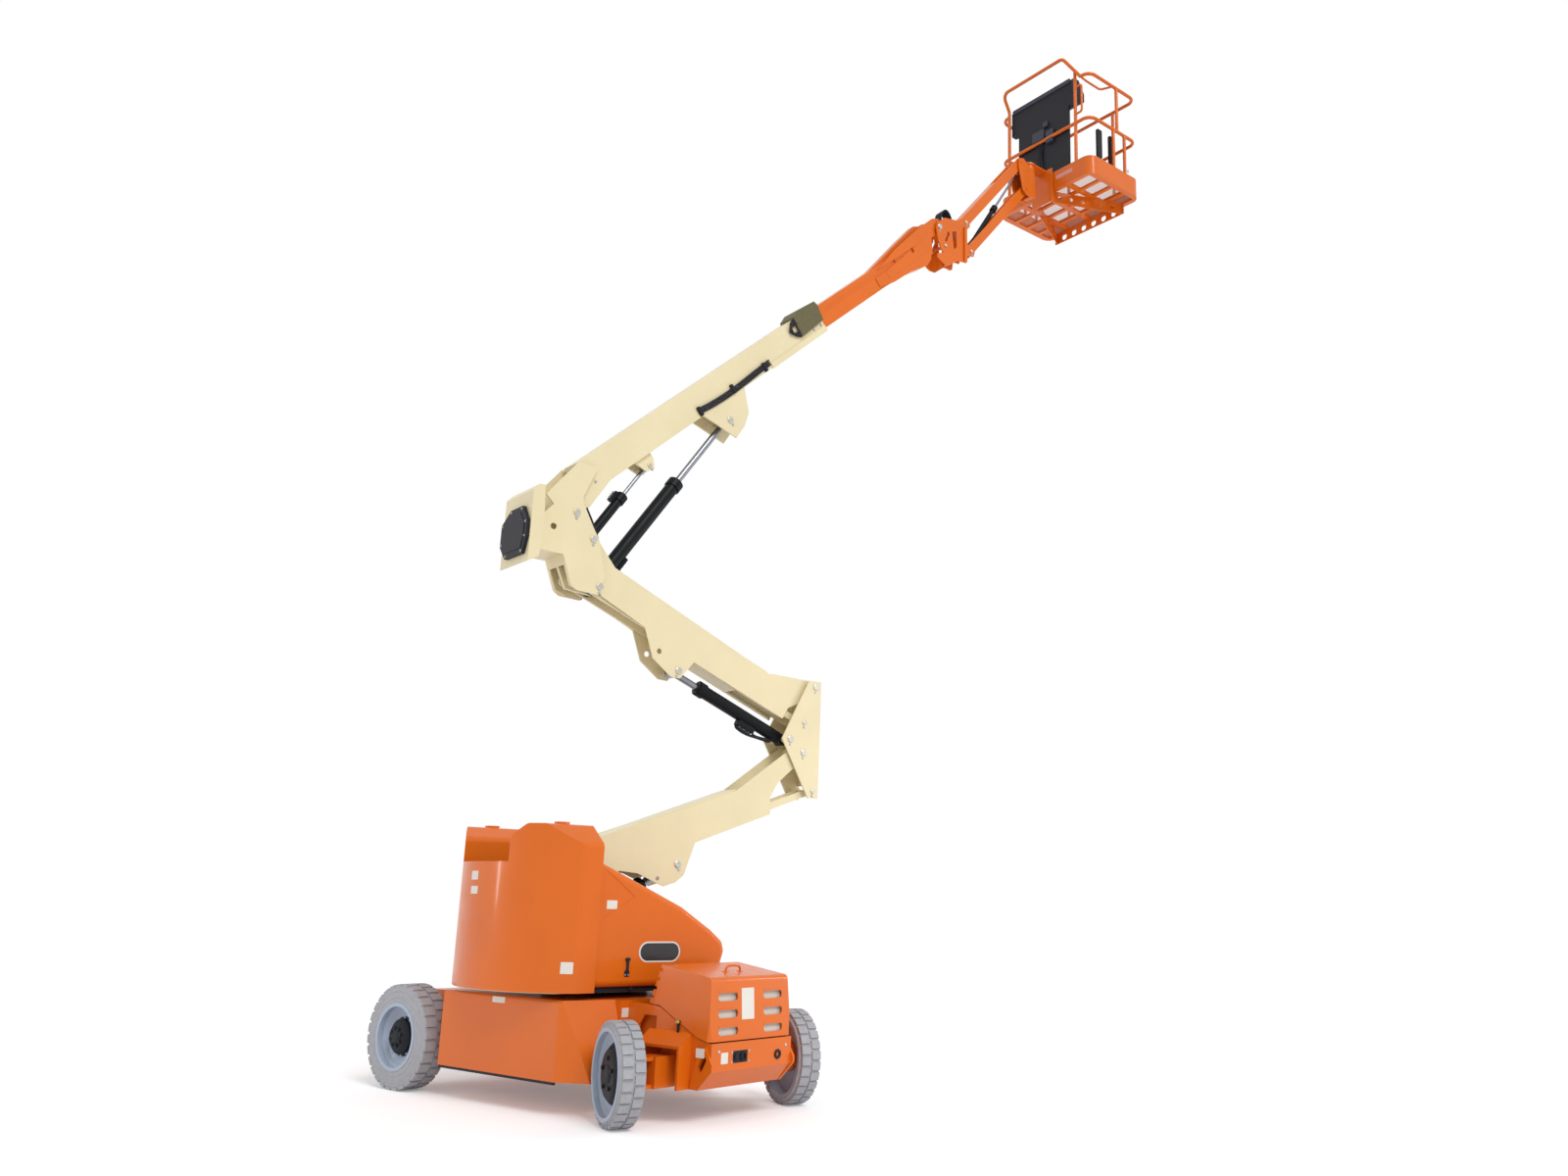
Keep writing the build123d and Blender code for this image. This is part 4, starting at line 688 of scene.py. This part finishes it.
# %% Rows of bolts
rows = []
for side in (1, -1):
    out = BOOM_RIGHT * side
    for s, n in ((276, 96), (276, 158), (276, 228), (2760, 110), (2760, 215), (2850, 110), (2850, 215)):
        rows.append((main(s, n, side * 92.0) + out * 0.001, out))
    for s in (1420, 1770):
        rows.append((main(s, 84, side * 92.0) + out * 0.001, out))
bolts("boom_pad_bolts", "main_boom", zinc, rows, 8, 6)
back = -BOOM_FORWARD
cover_spots = []
COVER_SCREWS = (
    (-86, -148), (136, -148), (170, -52), (168, 44),
    (100, 142), (-52, 142), (-166, 70), (-166, -60),
)
for x, z in COVER_SCREWS:
    start = pin("upright_level") + (BOOM_RIGHT * x + UP * (z - 30)) / 1000 + back * 0.8
    spot, normal = touch("rear_cover", start, start - back)
    cover_spots.append((spot, normal))
bolts("rear_cover_screws", "upright", zinc, cover_spots, 6, 4)
ridge = [(-90, -128), (130, -128), (158, -50), (158, 40), (90, 122), (-45, 122), (-150, 62), (-150, -54)]
face_mid = pin("upright_level") - UP * 0.03 + back * (0.490 + 0.0245)
plate("rear_cover_panel", "upright", dark_plastic, face_mid, BOOM_RIGHT, UP, ridge, -0.5, 5.0, 4.0)
print("bolts in rows:", len(rows) + len(cover_spots))

# %% [markdown]
# ## Wheels
# Inside each pale rim sits a dark hub: a stepped drum with a domed centre and a ring of bolts. It is
# turned in one profile that just covers the hub of the frame, and it spins with the wheel. Two rings
# of bolts come from the same circle, with a radius and a count for each.

# %% Hubs and wheel bolts
WHEELS = {
    # outward side, half tread, rim radius, dish, drum radius, drum length, bolts, bolt circle's radius
    "front_wheel_right": (-1, 65.0, 237.0, 62.0, 152.0, 50.0, 5, 84.0),
    "front_wheel_left": (1, 65.0, 237.0, 62.0, 152.0, 50.0, 5, 84.0),
    "rear_wheel_right": (-1, 85.0, 200.3, 70.0, 105.0, 60.0, 8, 52.0),
    "rear_wheel_left": (1, 85.0, 200.3, 70.0, 105.0, 60.0, 8, 52.0),
}


def bolt_circle(centre, axis, radius, height, count, first):
    """Places and directions of bolts in a ring round an axis."""
    u, v = side_axes(axis)
    places = []
    for k in range(count):
        a = 2 * math.pi * k / count + first
        spoke = u * math.cos(a) + v * math.sin(a)
        places.append((centre + axis * height / 1000 + spoke * radius / 1000, axis))
    return places


for body, (side, half, rim_r, dish, drum_r, drum_out, count, circle) in WHEELS.items():
    spin = joints[body + "_spin"]
    axis = Vector(spin["axis"]).normalized() * side
    centre = Vector(spin["pos_m"])
    disc = half + 12 - dish
    top = disc + drum_out
    flange_part = [(0, disc + 1), (drum_r + 16, disc + 1), (drum_r + 16, disc + 5), (drum_r + 2, disc + 7)]
    drum_part = [(drum_r + 2, top - 29), (drum_r - 24, top - 6.5), (drum_r - 34, top - 6.5)]
    dome_part = [(drum_r - 38, top - 3), (52, top - 3), (48, top + 2), (30, top + 8.4), (0, top + 9.4)]
    profile = flange_part + drum_part + dome_part
    turned(body + "_hub", body, dark_steel, [(centre, axis, profile)], 48)
    ring = bolt_circle(centre, axis, circle, top - 2, count, 0.3)
    bolts(body + "_hub_bolts", body, dark_steel, ring, 11, 10)
    flange = bolt_circle(centre, axis, drum_r + 9, disc + 6, 12, 0.0)
    bolts(body + "_flange_bolts", body, rim_grey, flange, 6.5, 5)
    # two fine ribs round the outer side wall of the tyre
    tyre_r = 279.5 if "front" in body else 320.0
    wall_low, wall_high = rim_r + 12, tyre_r - 23
    ribs = []
    for share in (0.3, 0.75):
        r = wall_low + (wall_high - wall_low) * share
        h = half + 8 * (1 - share)
        foot = (r - 3, h - 1.5)
        ribs.append((centre, axis, [foot, (r - 1.4, h + 1.6), (r + 1.4, h + 1.4), (r + 3, h - 2.5), foot]))
    turned(body + "_tyre_ribs", body, tyre_grey, ribs, 72)
print("wheels:", len(WHEELS))

# %% [markdown]
# ## Labels, badge and plates
# The machine carries films and plates on its hoods. They are left blank here: thin plates with round
# corners, seated where a ray from outside meets the hood, and turned to its slope.

# %% Labels
def label(name, body, node, start, toward, width, height, material=label_white, thick=0.8):
    """A blank plate where a ray from start meets a node, upright on its slope."""
    place, outward = touch(node, start, toward)
    upward = (UP - outward * UP.dot(outward)).normalized()
    sideways = upward.cross(outward).normalized()
    shape = rounded(width, height, 4.0)
    plate(name, body, material, place, sideways, upward, shape, -1.0, thick, min(0.4, thick / 2))


def world_spot(x, y, z):
    """A place in the frame, in millimetres."""
    return Vector((x, y, z)) / 1000


LABELS = [
    # name, body, node, where the ray starts, where it aims, width, height
    ("cover_label", "chassis", "side_cover_right", (-51, -900, 604), (-51, 0, 604), 120, 34),
    ("tail_label_low", "turntable", "rear_hood", (660, -850, 813), (0, 0, 813), 74, 66),
    ("tail_label_high", "turntable", "rear_hood", (-205, -1000, 1326), (0, 0, 1326), 86, 52),
    ("tail_label_next", "turntable", "rear_hood", (-195, -1000, 1240), (0, 0, 1240), 86, 46),
    ("frame_end_label", "chassis", "chassis_frame", (900, -352, 562), (0, -352, 562), 70, 52),
    ("nose_side_label", "chassis", "front_frame", (1306, -600, 388), (1306, 0, 388), 66, 50),
    ("hood_front_plate", "chassis", "power_hood", (1600, -26, 640), (1000, -26, 640), 104, 172),
    ("nose_small_plate", "chassis", "front_frame", (1600, -228, 358), (1000, -228, 358), 56, 60),
]
for name, body, node, start, toward, width, height in LABELS:
    label(name, body, node, world_spot(*start), world_spot(*toward), width, height)
recess_start, recess_aim = table(-304, 1172, 900), table(-304, 1172)
label("recess_label", "turntable", "side_hood_right", recess_start, recess_aim, 70, 50, thick=1.2)
pan_start = Vector(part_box("platform_pan")[0])
pan_spot = pin("platform_rotate") + (BOOM_RIGHT * 270 - BOOM_FORWARD * 300) / 1000
pan_spot.z = pan_start.z + 0.120
label("pan_label", "platform", "platform_pan", pan_spot, pan_spot + BOOM_FORWARD, 208, 40, label_pink)
badge_spot, badge_out = touch("side_hood_right", table(44, 899, 900), table(44, 899, 0))
badge_across = UP.cross(badge_out).normalized()
for name, material, shape, low, high in (
    ("badge_rim", label_white, rounded(290, 121, 60, 12), -1.0, 1.6),
    ("badge_face", gloss_black, rounded(270, 102, 50.5, 12), 1.2, 2.6),
):
    plate(name, "turntable", material, badge_spot, badge_across, UP, shape, low, high, 0.6)
print("labels seated:", len(LABELS) + 2)

# %% [markdown]
# ## The gap under the hoods
# Between the hoods and the deck the gap lies in shade. A strip of black rubber along the edge of the
# turntable's base plate is painted shade for that dark gap, and a round swing-lock fitting sits on the base
# plate.

# %% Skirt
works = bmesh.new()
# black strips on both sides: painted shade for the dark gap under the hoods
for side, low, high in ((1, -5.0, 1.0), (-1, -1.0, 5.0)):
    slab(works, table(14, 684, side * 631), BOOM_FORWARD, UP, rounded(800, 31, 3), low, high, 0.5)
keep(finished(works, "turntable_gap_shade_strip"), "turntable_gap_shade_strip", "turntable", black_rubber)
lock_profile = [(0, 2), (15, 2), (15, 10), (11, 14), (11, 22), (7, 25), (0, 25)]
locks = [(table(-120, 685, side * 632), BOOM_RIGHT * side, lock_profile) for side in (1, -1)]
turned("swing_lock", "turntable", dark_steel, locks, 24)
print("shade strip and lock in place")

# %% [markdown]
# ## The nose
# Through the louvres of the power hood the pale sound-deadening lining shows. Each slot has a lip,
# pressed outwards from the sheet. The hood leans back, and one ray gives its slope, so linings and
# lips are laid along it.

# %% Louvres and linings
front_out = touch("power_hood", world_spot(1600, 60, 650), world_spot(1000, 60, 650))[1]
front_up = (UP - front_out * front_out.z).normalized()
front_across = front_up.cross(front_out)
lining_shape = rounded(200, 270, 12)
lip_shape = rounded(158, 8, 3.9, 4)
for where, y, between_slots in (("right", -189.0, -89.0), ("left", 189.0, 89.0)):
    spot = touch("power_hood", world_spot(1600, between_slots, 592), world_spot(1000, between_slots, 592))[0]
    centre = Vector((spot.x, y / 1000, 0.592))
    behind = ("chassis", lining, centre, front_across, front_up, lining_shape)
    plate("lining_" + where, *behind, -30.0, -22.0, 2.0)
    works = bmesh.new()
    for z in (499.0, 592.0, 683.0):
        lean = (z - 592) / 1000 * math.tan(math.asin(front_out.z))
        middle = Vector((spot.x - lean, y / 1000, z / 1000))
        # a pressed lip along the upper edge of each slot
        slab(works, middle + front_up * 0.024, front_across, front_up, lip_shape, -6.0, 2.4, 1.0)
    keep(finished(works, "louvre_lips_" + where), "louvre_lips_" + where, "chassis", orange)
print("hood front leans", round(math.degrees(math.asin(front_out.z)), 1), "degrees")

# %% [markdown]
# ## Socket and buffer ring
# Below the hood the nose carries the charging socket in a dark recess, a rubber ring that takes a
# knock, and two buttons. All but the recess are round, so each is a profile turned about the way ahead.

# %% Socket and ring
NOSE_X = 1380.0
socket_spot = world_spot(NOSE_X, -100, 359.5)
AHEAD = Vector((1, 0, 0))
LEFT = Vector((0, 1, 0))
recess = rounded(120, 63, 8)
plate("socket_back", "chassis", black_rubber, socket_spot, LEFT, UP, recess, -34.0, -3.0, 2.0)
collar = [(0, -4), (24, -4), (24, 4), (20, 6), (17, 6), (17, -2), (0, -2)]
plug = [(0, -4), (18, -4), (18, 3), (15, 5), (0, 5)]
turned("socket_body", "chassis", dark_steel, [
    (socket_spot + LEFT * 0.026, AHEAD, collar),
    (socket_spot - LEFT * 0.028, AHEAD, plug),
], 32)
corners = [(world_spot(NOSE_X + 0.5, -100 + y, 359.5 + z), AHEAD) for y in (-70, 70) for z in (-26, 26)]
bolts("socket_screws", "chassis", zinc, corners, 5, 4)
ring = [(12, -0.5), (26, -0.5), (28, 4), (25, 9), (20, 11), (15, 9), (12, 4), (12, -0.5)]
turned("buffer_ring", "chassis", black_rubber, [(world_spot(NOSE_X, 216, 349), AHEAD, ring)], 32)
button = [(0, -0.5), (9, -0.5), (9, 3), (6, 5), (0, 5)]
spots = [(world_spot(NOSE_X, y, 395), AHEAD, button) for y in (-275, 286)]
turned("nose_buttons", "chassis", zinc, spots, 24)
print("socket and ring at", [round(v, 3) for v in socket_spot])

# %% [markdown]
# ## Latches and handle
# Rubber straps hold the hoods shut. One function makes a latch of three slabs, its plate, its strap
# and its grip, and a ray finds where it sits. The handle on the hood is a bent round bar, so it is
# made as a hose is, of the hood's own orange.

# %% Latches and handle
def latch(name, body, centre, outward):
    """A rubber pull latch: its plate, its strap and its grip."""
    sideways = UP.cross(outward).normalized()
    works = bmesh.new()
    slab(works, centre - UP * 0.042, sideways, UP, rounded(34, 36, 6), -0.8, 4.0, 1.2)
    slab(works, centre + UP * 0.004, sideways, UP, rounded(16, 70, 6), 3.0, 10.0, 2.0)
    slab(works, centre + UP * 0.040, sideways, UP, rounded(30, 18, 7), -0.8, 13.0, 3.0)
    keep(finished(works, name), name, body, black_rubber)
    foot = centre - UP * 0.050 + outward * 0.0045
    bolts(name + "_screws", body, zinc, [(foot + sideways * d / 1000, outward) for d in (-10, 10)], 3.5, 3)


for where, side in (("right", 1), ("left", -1)):
    spot, out = touch("front_frame", world_spot(1116, -600 * side, 500), world_spot(1116, 0, 500))
    latch("hood_latch_" + where, "chassis", spot, out)
    if side > 0:
        flag_spot = spot + UP * 0.040 + out * 0.0125
        flag = rounded(26, 16, 5)
        plate("latch_flag", "chassis", yellow, flag_spot, UP.cross(out), UP, flag, -0.6, 1.6, 0.5)
    spot, out = touch("side_hood_" + where, table(-175, 818, side * 900), table(-175, 818, 0))
    latch("side_latch_" + where, "turntable", spot, out)
top_spot, top_out = touch("power_hood", world_spot(1196, 0, 1200), world_spot(1196, 0, 400))
HANDLE = ((-62, 1), (-60, 26), (-40, 36), (40, 36), (60, 26), (62, 1))
grip = [top_spot + LEFT * y / 1000 + top_out * h / 1000 for y, h in HANDLE]
hose("hood_handle", "chassis", orange, [grip], 6.5)
top_back = top_out.cross(LEFT)
for where, y in (("right", -62), ("left", 62)):
    foot = top_spot + LEFT * y / 1000
    foot_name = "hood_handle_foot_" + where
    plate(foot_name, "chassis", orange, foot, LEFT, top_back, rounded(36, 30, 8), -1.0, 3.0, 1.0)
print("latches: 4, handle", HANDLE[-1][0] - HANDLE[0][0], "mm wide")

# %% [markdown]
# ## Hoses
# Oil reaches every cylinder through black hoses, which are clipped along the arms. Each one here
# starts and ends on the same body and lies in a place that no other arm sweeps through.

# %% Hoses
BOOM_RUN = ((1330, 78), (1430, 66), (1560, 58), (1720, 58), (1900, 66), (2060, 76), (2168, 80))
run = [main.route([(s, n + 17 * k) for s, n in BOOM_RUN], 100 + 1.5 * k) for k in range(3)]
hose("boom_side_hoses", "main_boom", black_rubber, run, 7.5)
works = bmesh.new()
for s in (1345, 1720, 2100):
    slab(works, main(s, 88, 92), main.along, main.above, rounded(26, 74, 8), -0.5, 20.0, 3.0)
keep(finished(works, "boom_hose_clamps"), "boom_hose_clamps", "main_boom", dark_steel)
loops = []
for k in range(4):
    upper_part = [(2598 + 6 * k, 268 - 14 * k), (2566 - 5 * k, 262 - 10 * k), (2530 - 8 * k, 218)]
    lower_part = [(2536 - 8 * k, 150 + 6 * k), (2580, 128 + 12 * k), (2612, 130 + 12 * k)]
    loops.append(main.route(upper_part + lower_part, 106 + 5 * (k % 2)))
hose("guide_hoses", "main_boom", black_rubber, loops, 8)
FRONT_RUN = ((-60, 214), (-20, 150), (30, 60), (66, -60), (72, -160), (30, -230), (-40, -270))
BACK_RUN = ((-84, 190), (-50, 110), (0, 20), (40, -80), (36, -170), (-10, -240), (-70, -280))
inner = [upright.route(places, side * 105) for side in (1, -1) for places in (FRONT_RUN, BACK_RUN)]
hose("upright_hoses", "upright", black_rubber, inner, 8)
arch = []
for k in range(5):
    bow = [(214, 60), (208, 130 + 3 * k), (190, 200), (140, 236 + 4 * k), (90, 216), (66, 168), (72, 110)]
    arch.append(bracket.route(bow, -36 + 18 * k))
hose("bracket_hoses", "jib_bracket", black_rubber, arch, 8)
swivel = []
for k in range(3):
    turn_over = [(-18, 236, 30 * k - 30), (-30, 262 + 6 * k, 28 * k - 30), (-70, 250 + 6 * k, 30 * k - 34)]
    turn_down = [(-104, 190, 34 * k - 36), (-96, 120, 36 * k - 38), (-52, 80, 34 * k - 36)]
    swivel.append([jib_head(*place) for place in turn_over + turn_down])
hose("rotator_hoses", "jib_head", black_rubber, swivel, 7)
print("hoses on the arms:", len(run) + len(loops) + len(inner) + len(arch) + len(swivel))

# %% [markdown]
# ## Valves and glands
# A valve block on a cylinder's barrel holds the boom up if a hose bursts, and a gland closes the barrel
# where the rod comes out. Two tables list them. Each cylinder is taken as an arm, whose places run from
# the pin of its barrel, so that blocks, plugs and glands follow its slope.

# %% Valves and glands
def cylinder_line(cylinder):
    """A cylinder as an arm: its places run from the pin of its barrel towards its rod."""
    return Member(pin(cylinder + "_barrel_turn"), Vector(joints[cylinder + "_rod_slide"]["axis"]))


PLUG = [(0, 0), (9, 0), (9, 8), (6, 10), (0, 10)]
VALVES = [
    # name, cylinder, along, which side, how far out, length, width, height
    ("mid_valve", "mid_lift", 330, 1, 46, 150, 62, 34),
    ("main_valve", "main_lift", 300, -1, 50, 110, 56, 20),
    ("lower_valve", "lower_lift", 300, -1, 48, 100, 56, 18),
    ("levelling_valve", "levelling", 415, 1, 38, 80, 50, 26),
]
for name, cylinder, along, away, out_by, length, width, height in VALVES:
    place = cylinder_line(cylinder)
    outward = place.above * away
    centre = place(along, out_by * away)
    body, block = cylinder + "_barrel", rounded(length, width, 4)
    plate(name, body, cylinder_black, centre, place.along, BOOM_RIGHT * -away, block, -4.0, height, 3.0)
    tops = [place(along + x, (out_by + height - 0.5) * away) for x in (-length * 0.3, 0, length * 0.3)]
    turned(name + "_plugs", body, zinc, [(top, outward, PLUG) for top in tops], 16)
mid_cylinder = cylinder_line("mid_lift")
leads = []
for k in range(2):
    bow = [(376, 72), (420, 92), (300 - 20 * k, 108), (200, 78 - 6 * k), (120, 64), (84, 58)]
    leads.append(mid_cylinder.route(bow, 22 * k - 22))
leads.append(mid_cylinder.route([(284, 72), (250, 94), (200, 80), (130, 62), (90, 56)], 22))
hose("mid_valve_hoses", "mid_lift_barrel", black_rubber, leads, 7)
GLANDS = [
    # cylinder, where its barrel ends, outer radius, inner radius
    ("main_lift", 1090, 59, 24.8),
    ("mid_lift", 810, 55, 24.8),
    ("lower_lift", 790, 57, 25.8),
    ("levelling", 470, 43, 14.8),
]
for cylinder, end, outer, hole in GLANDS:
    place = cylinder_line(cylinder)
    outside = [(hole, -0.5), (outer - 5, -0.5), (outer - 5, 5), (outer - 9, 8)]
    seal = outside + [(hole + 6, 8), (hole, 6), (hole, -0.5)]
    name = cylinder + "_gland"
    turned(name, cylinder + "_barrel", cylinder_black, [(place(end, 0), place.along, seal)], 40)
print("valves:", len(VALVES), "glands:", len(GLANDS))

# %% [markdown]
# ## The platform
# The floor of the platform is an open wire mesh, so that rain and mud fall through. A tree of two
# crossed rows of bars makes it from four sizes, and the mesh takes the place of the frame's plain
# floor.

# %% Mesh floor
floor_tree = bpy.data.node_groups.new("wire_mesh", "GeometryNodeTree")
socket(floor_tree, "Start", "NodeSocketGeometry")
DEEP = socket(floor_tree, "Depth", "NodeSocketFloat", 0.7)
LONG = socket(floor_tree, "Length", "NodeSocketFloat", 1.2)
PITCH = socket(floor_tree, "Pitch", "NodeSocketFloat", 0.02)
WIRE = socket(floor_tree, "Wire", "NodeSocketFloat", 0.003)
MESH_FINISH = socket(floor_tree, "Finish", "NodeSocketMaterial")
socket(floor_tree, "Mesh", "NodeSocketGeometry", out=True)
make = floor_tree.nodes.new
join_up = floor_tree.links.new
given = make("NodeGroupInput")
result = make("NodeGroupOutput")
gather = make("GeometryNodeJoinGeometry")
for run_axis, span, width in (("X", "Depth", "Length"), ("Y", "Length", "Depth")):
    line = make("GeometryNodeMeshLine")
    pitches = calc(floor_tree, "DIVIDE", given.outputs[span], given.outputs["Pitch"])
    gaps = calc(floor_tree, "FLOOR", pitches, 0)
    join_up(calc(floor_tree, "ADD", gaps, 1), line.inputs["Count"])
    origin = make("ShaderNodeCombineXYZ")
    step = make("ShaderNodeCombineXYZ")
    size = make("ShaderNodeCombineXYZ")
    join_up(calc(floor_tree, "MULTIPLY", given.outputs[span], -0.5), origin.inputs[run_axis])
    join_up(given.outputs["Pitch"], step.inputs[run_axis])
    other = "Y" if run_axis == "X" else "X"
    join_up(given.outputs["Wire"], size.inputs[run_axis])
    join_up(given.outputs[width], size.inputs[other])
    join_up(calc(floor_tree, "MULTIPLY", given.outputs["Wire"], 0.5), size.inputs["Z"])
    lift_z = calc(floor_tree, "MULTIPLY", given.outputs["Wire"], 0.25 if run_axis == "X" else 0.65)
    join_up(lift_z, origin.inputs["Z"])
    join_up(origin.outputs[0], line.inputs["Start Location"])
    join_up(step.outputs[0], line.inputs["Offset"])
    bar = make("GeometryNodeMeshCube")
    join_up(size.outputs[0], bar.inputs["Size"])
    spread = make("GeometryNodeInstanceOnPoints")
    join_up(line.outputs[0], spread.inputs["Points"])
    join_up(bar.outputs["Mesh"], spread.inputs["Instance"])
    join_up(spread.outputs[0], gather.inputs[0])
real = make("GeometryNodeRealizeInstances")
coat = make("GeometryNodeSetMaterial")
join_up(gather.outputs[0], real.inputs[0])
join_up(real.outputs[0], coat.inputs["Geometry"])
join_up(given.outputs["Finish"], coat.inputs["Material"])
join_up(coat.outputs[0], result.inputs[0])

floor_low, floor_high = [Vector(c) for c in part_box("platform_floor")]
seat_z = floor_low.z
centre = (floor_low + floor_high) / 2
holder = bpy.data.objects.new("floor_start", bpy.data.meshes.new("floor_start"))
bpy.context.scene.collection.objects.link(holder)
sizes = {DEEP: 0.700, LONG: 1.160, PITCH: 0.020, WIRE: 0.0040, MESH_FINISH: mesh_paint}
wire = settle(holder, floor_tree, sizes)
turn = Matrix((BOOM_FORWARD, -BOOM_RIGHT, UP)).transposed().to_4x4()
turn.translation = Vector((centre.x, centre.y, seat_z))
wire.transform(turn)
mesh_floor = keep(wire, "wire_mesh_floor", "platform", mesh_paint)
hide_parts("platform_floor")
print("wire mesh with", len(wire.polygons), "faces")

# %% [markdown]
# ## The control box
# The driver works from a box at the rails on the boom's side: four levers in rubber gaiters, a stop
# button, a grey lid, and smaller boxes under it with their leads. Levers and button are turned, boxes
# are slabs.

# %% Control box
platform_mid = Vector((centre.x, centre.y, 0))


def deck(x, left, z):
    """A place in the platform: forward and left of its middle, at a height, in millimetres."""
    return platform_mid + (BOOM_FORWARD * x - BOOM_RIGHT * left) / 1000 + UP * z / 1000


box_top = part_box("control_console")[1][2] * 1000
gaiter = [(0, -2), (26, -2), (26, 3), (18, 8), (13, 22), (7, 30)]
knob = [(5, 32), (9, 36), (11, 46), (9, 54), (0, 57)]
levers = [(deck(-262, left, box_top - 1), UP, gaiter + knob) for left in (-210, -60, 90, 300)]
turned("console_levers", "platform", black_rubber, levers, 24)
stop_red = paint("stop_button_red", colour(196, 40, 34), 0.3)
mushroom = [(0, -2), (12, -2), (12, 12), (22, 14), (24, 20), (20, 26), (0, 28)]
turned("stop_button", "platform", stop_red, [(deck(-262, 400, box_top - 1), UP, mushroom)], 28)
face_spot, face = deck(-264, 55, box_top), rounded(770, 62, 10)
plate("console_face", "platform", gloss_black, face_spot, -BOOM_RIGHT, -BOOM_FORWARD, face, -1.0, 1.6, 0.6)
lid_spot, lid_out = touch("control_console", deck(-900, 55, box_top - 42), deck(0, 55, box_top - 42))
lid_across = UP.cross(lid_out).normalized()
plate("console_lid", "platform", lid_grey, lid_spot, lid_across, UP, rounded(780, 46, 10), -1.0, 9.0, 4.0)
apron, apron_out = touch("control_console", deck(-900, 0, 8700), deck(0, 0, 8700))
works = bmesh.new()
BOXES = ((-70, 20, 150, 110, 42), (70, -30, 90, 140, 30), (10, 130, 60, 60, 24))
for across_by, up_by, wide_mm, high_mm, thick_mm in BOXES:
    spot = apron + (lid_across * across_by + UP * up_by) / 1000
    slab(works, spot, lid_across, UP, rounded(wide_mm, high_mm, 9), -1.0, thick_mm, 4.0)
keep(finished(works, "console_boxes"), "console_boxes", "platform", lid_grey)
leads = []
for k in range(3):
    start = apron + (lid_across * (34 * k - 100) - UP * 34) / 1000 + apron_out * 0.018
    falls = ((0, 0), (70, 0), (150, 30 - 30 * k), (270, 0), (360, 0))
    leads.append([start + (lid_across * across_by - UP * fall) / 1000 for fall, across_by in falls])
hose("console_leads", "platform", black_rubber, leads, 6)
print("control box with", len(levers), "levers and", len(BOXES), "boxes under it")

# %% [markdown]
# ## Guards, pads and rings
# Two hoops keep an elbow off the levers, two moulded pads stand on the right side's rails, and a ring
# on each side takes the lanyard of a harness. Hoops and rings are bent bar, as the handle is.

# %% Guards, pads and rings
HOOP = ((-60, 0), (-60, 58), (60, 58), (60, 0))
guard = [[deck(-240, left + x, box_top + z) for x, z in HOOP] for left in (-150, 190)]
hose("lever_guards", "platform", dark_steel, guard, 5)
works = bmesh.new()
for x, wide_mm in ((-178, 65), (9, 75)):
    slab(works, deck(x, -560, 8435), BOOM_FORWARD, UP, rounded(wide_mm, 310, 12), -22.0, 4.0, 3.0)
keep(finished(works, "side_pads"), "side_pads", "platform", dark_plastic)
RING = ((250, 8330), (232, 8310), (250, 8286), (268, 8310), (250, 8330))
rings = [[deck(x, left, z) for x, z in RING] for left in (-560, 560)]
hose("lanyard_rings", "platform", zinc, rings, 4)
print("guards:", len(guard), "rings:", len(rings))
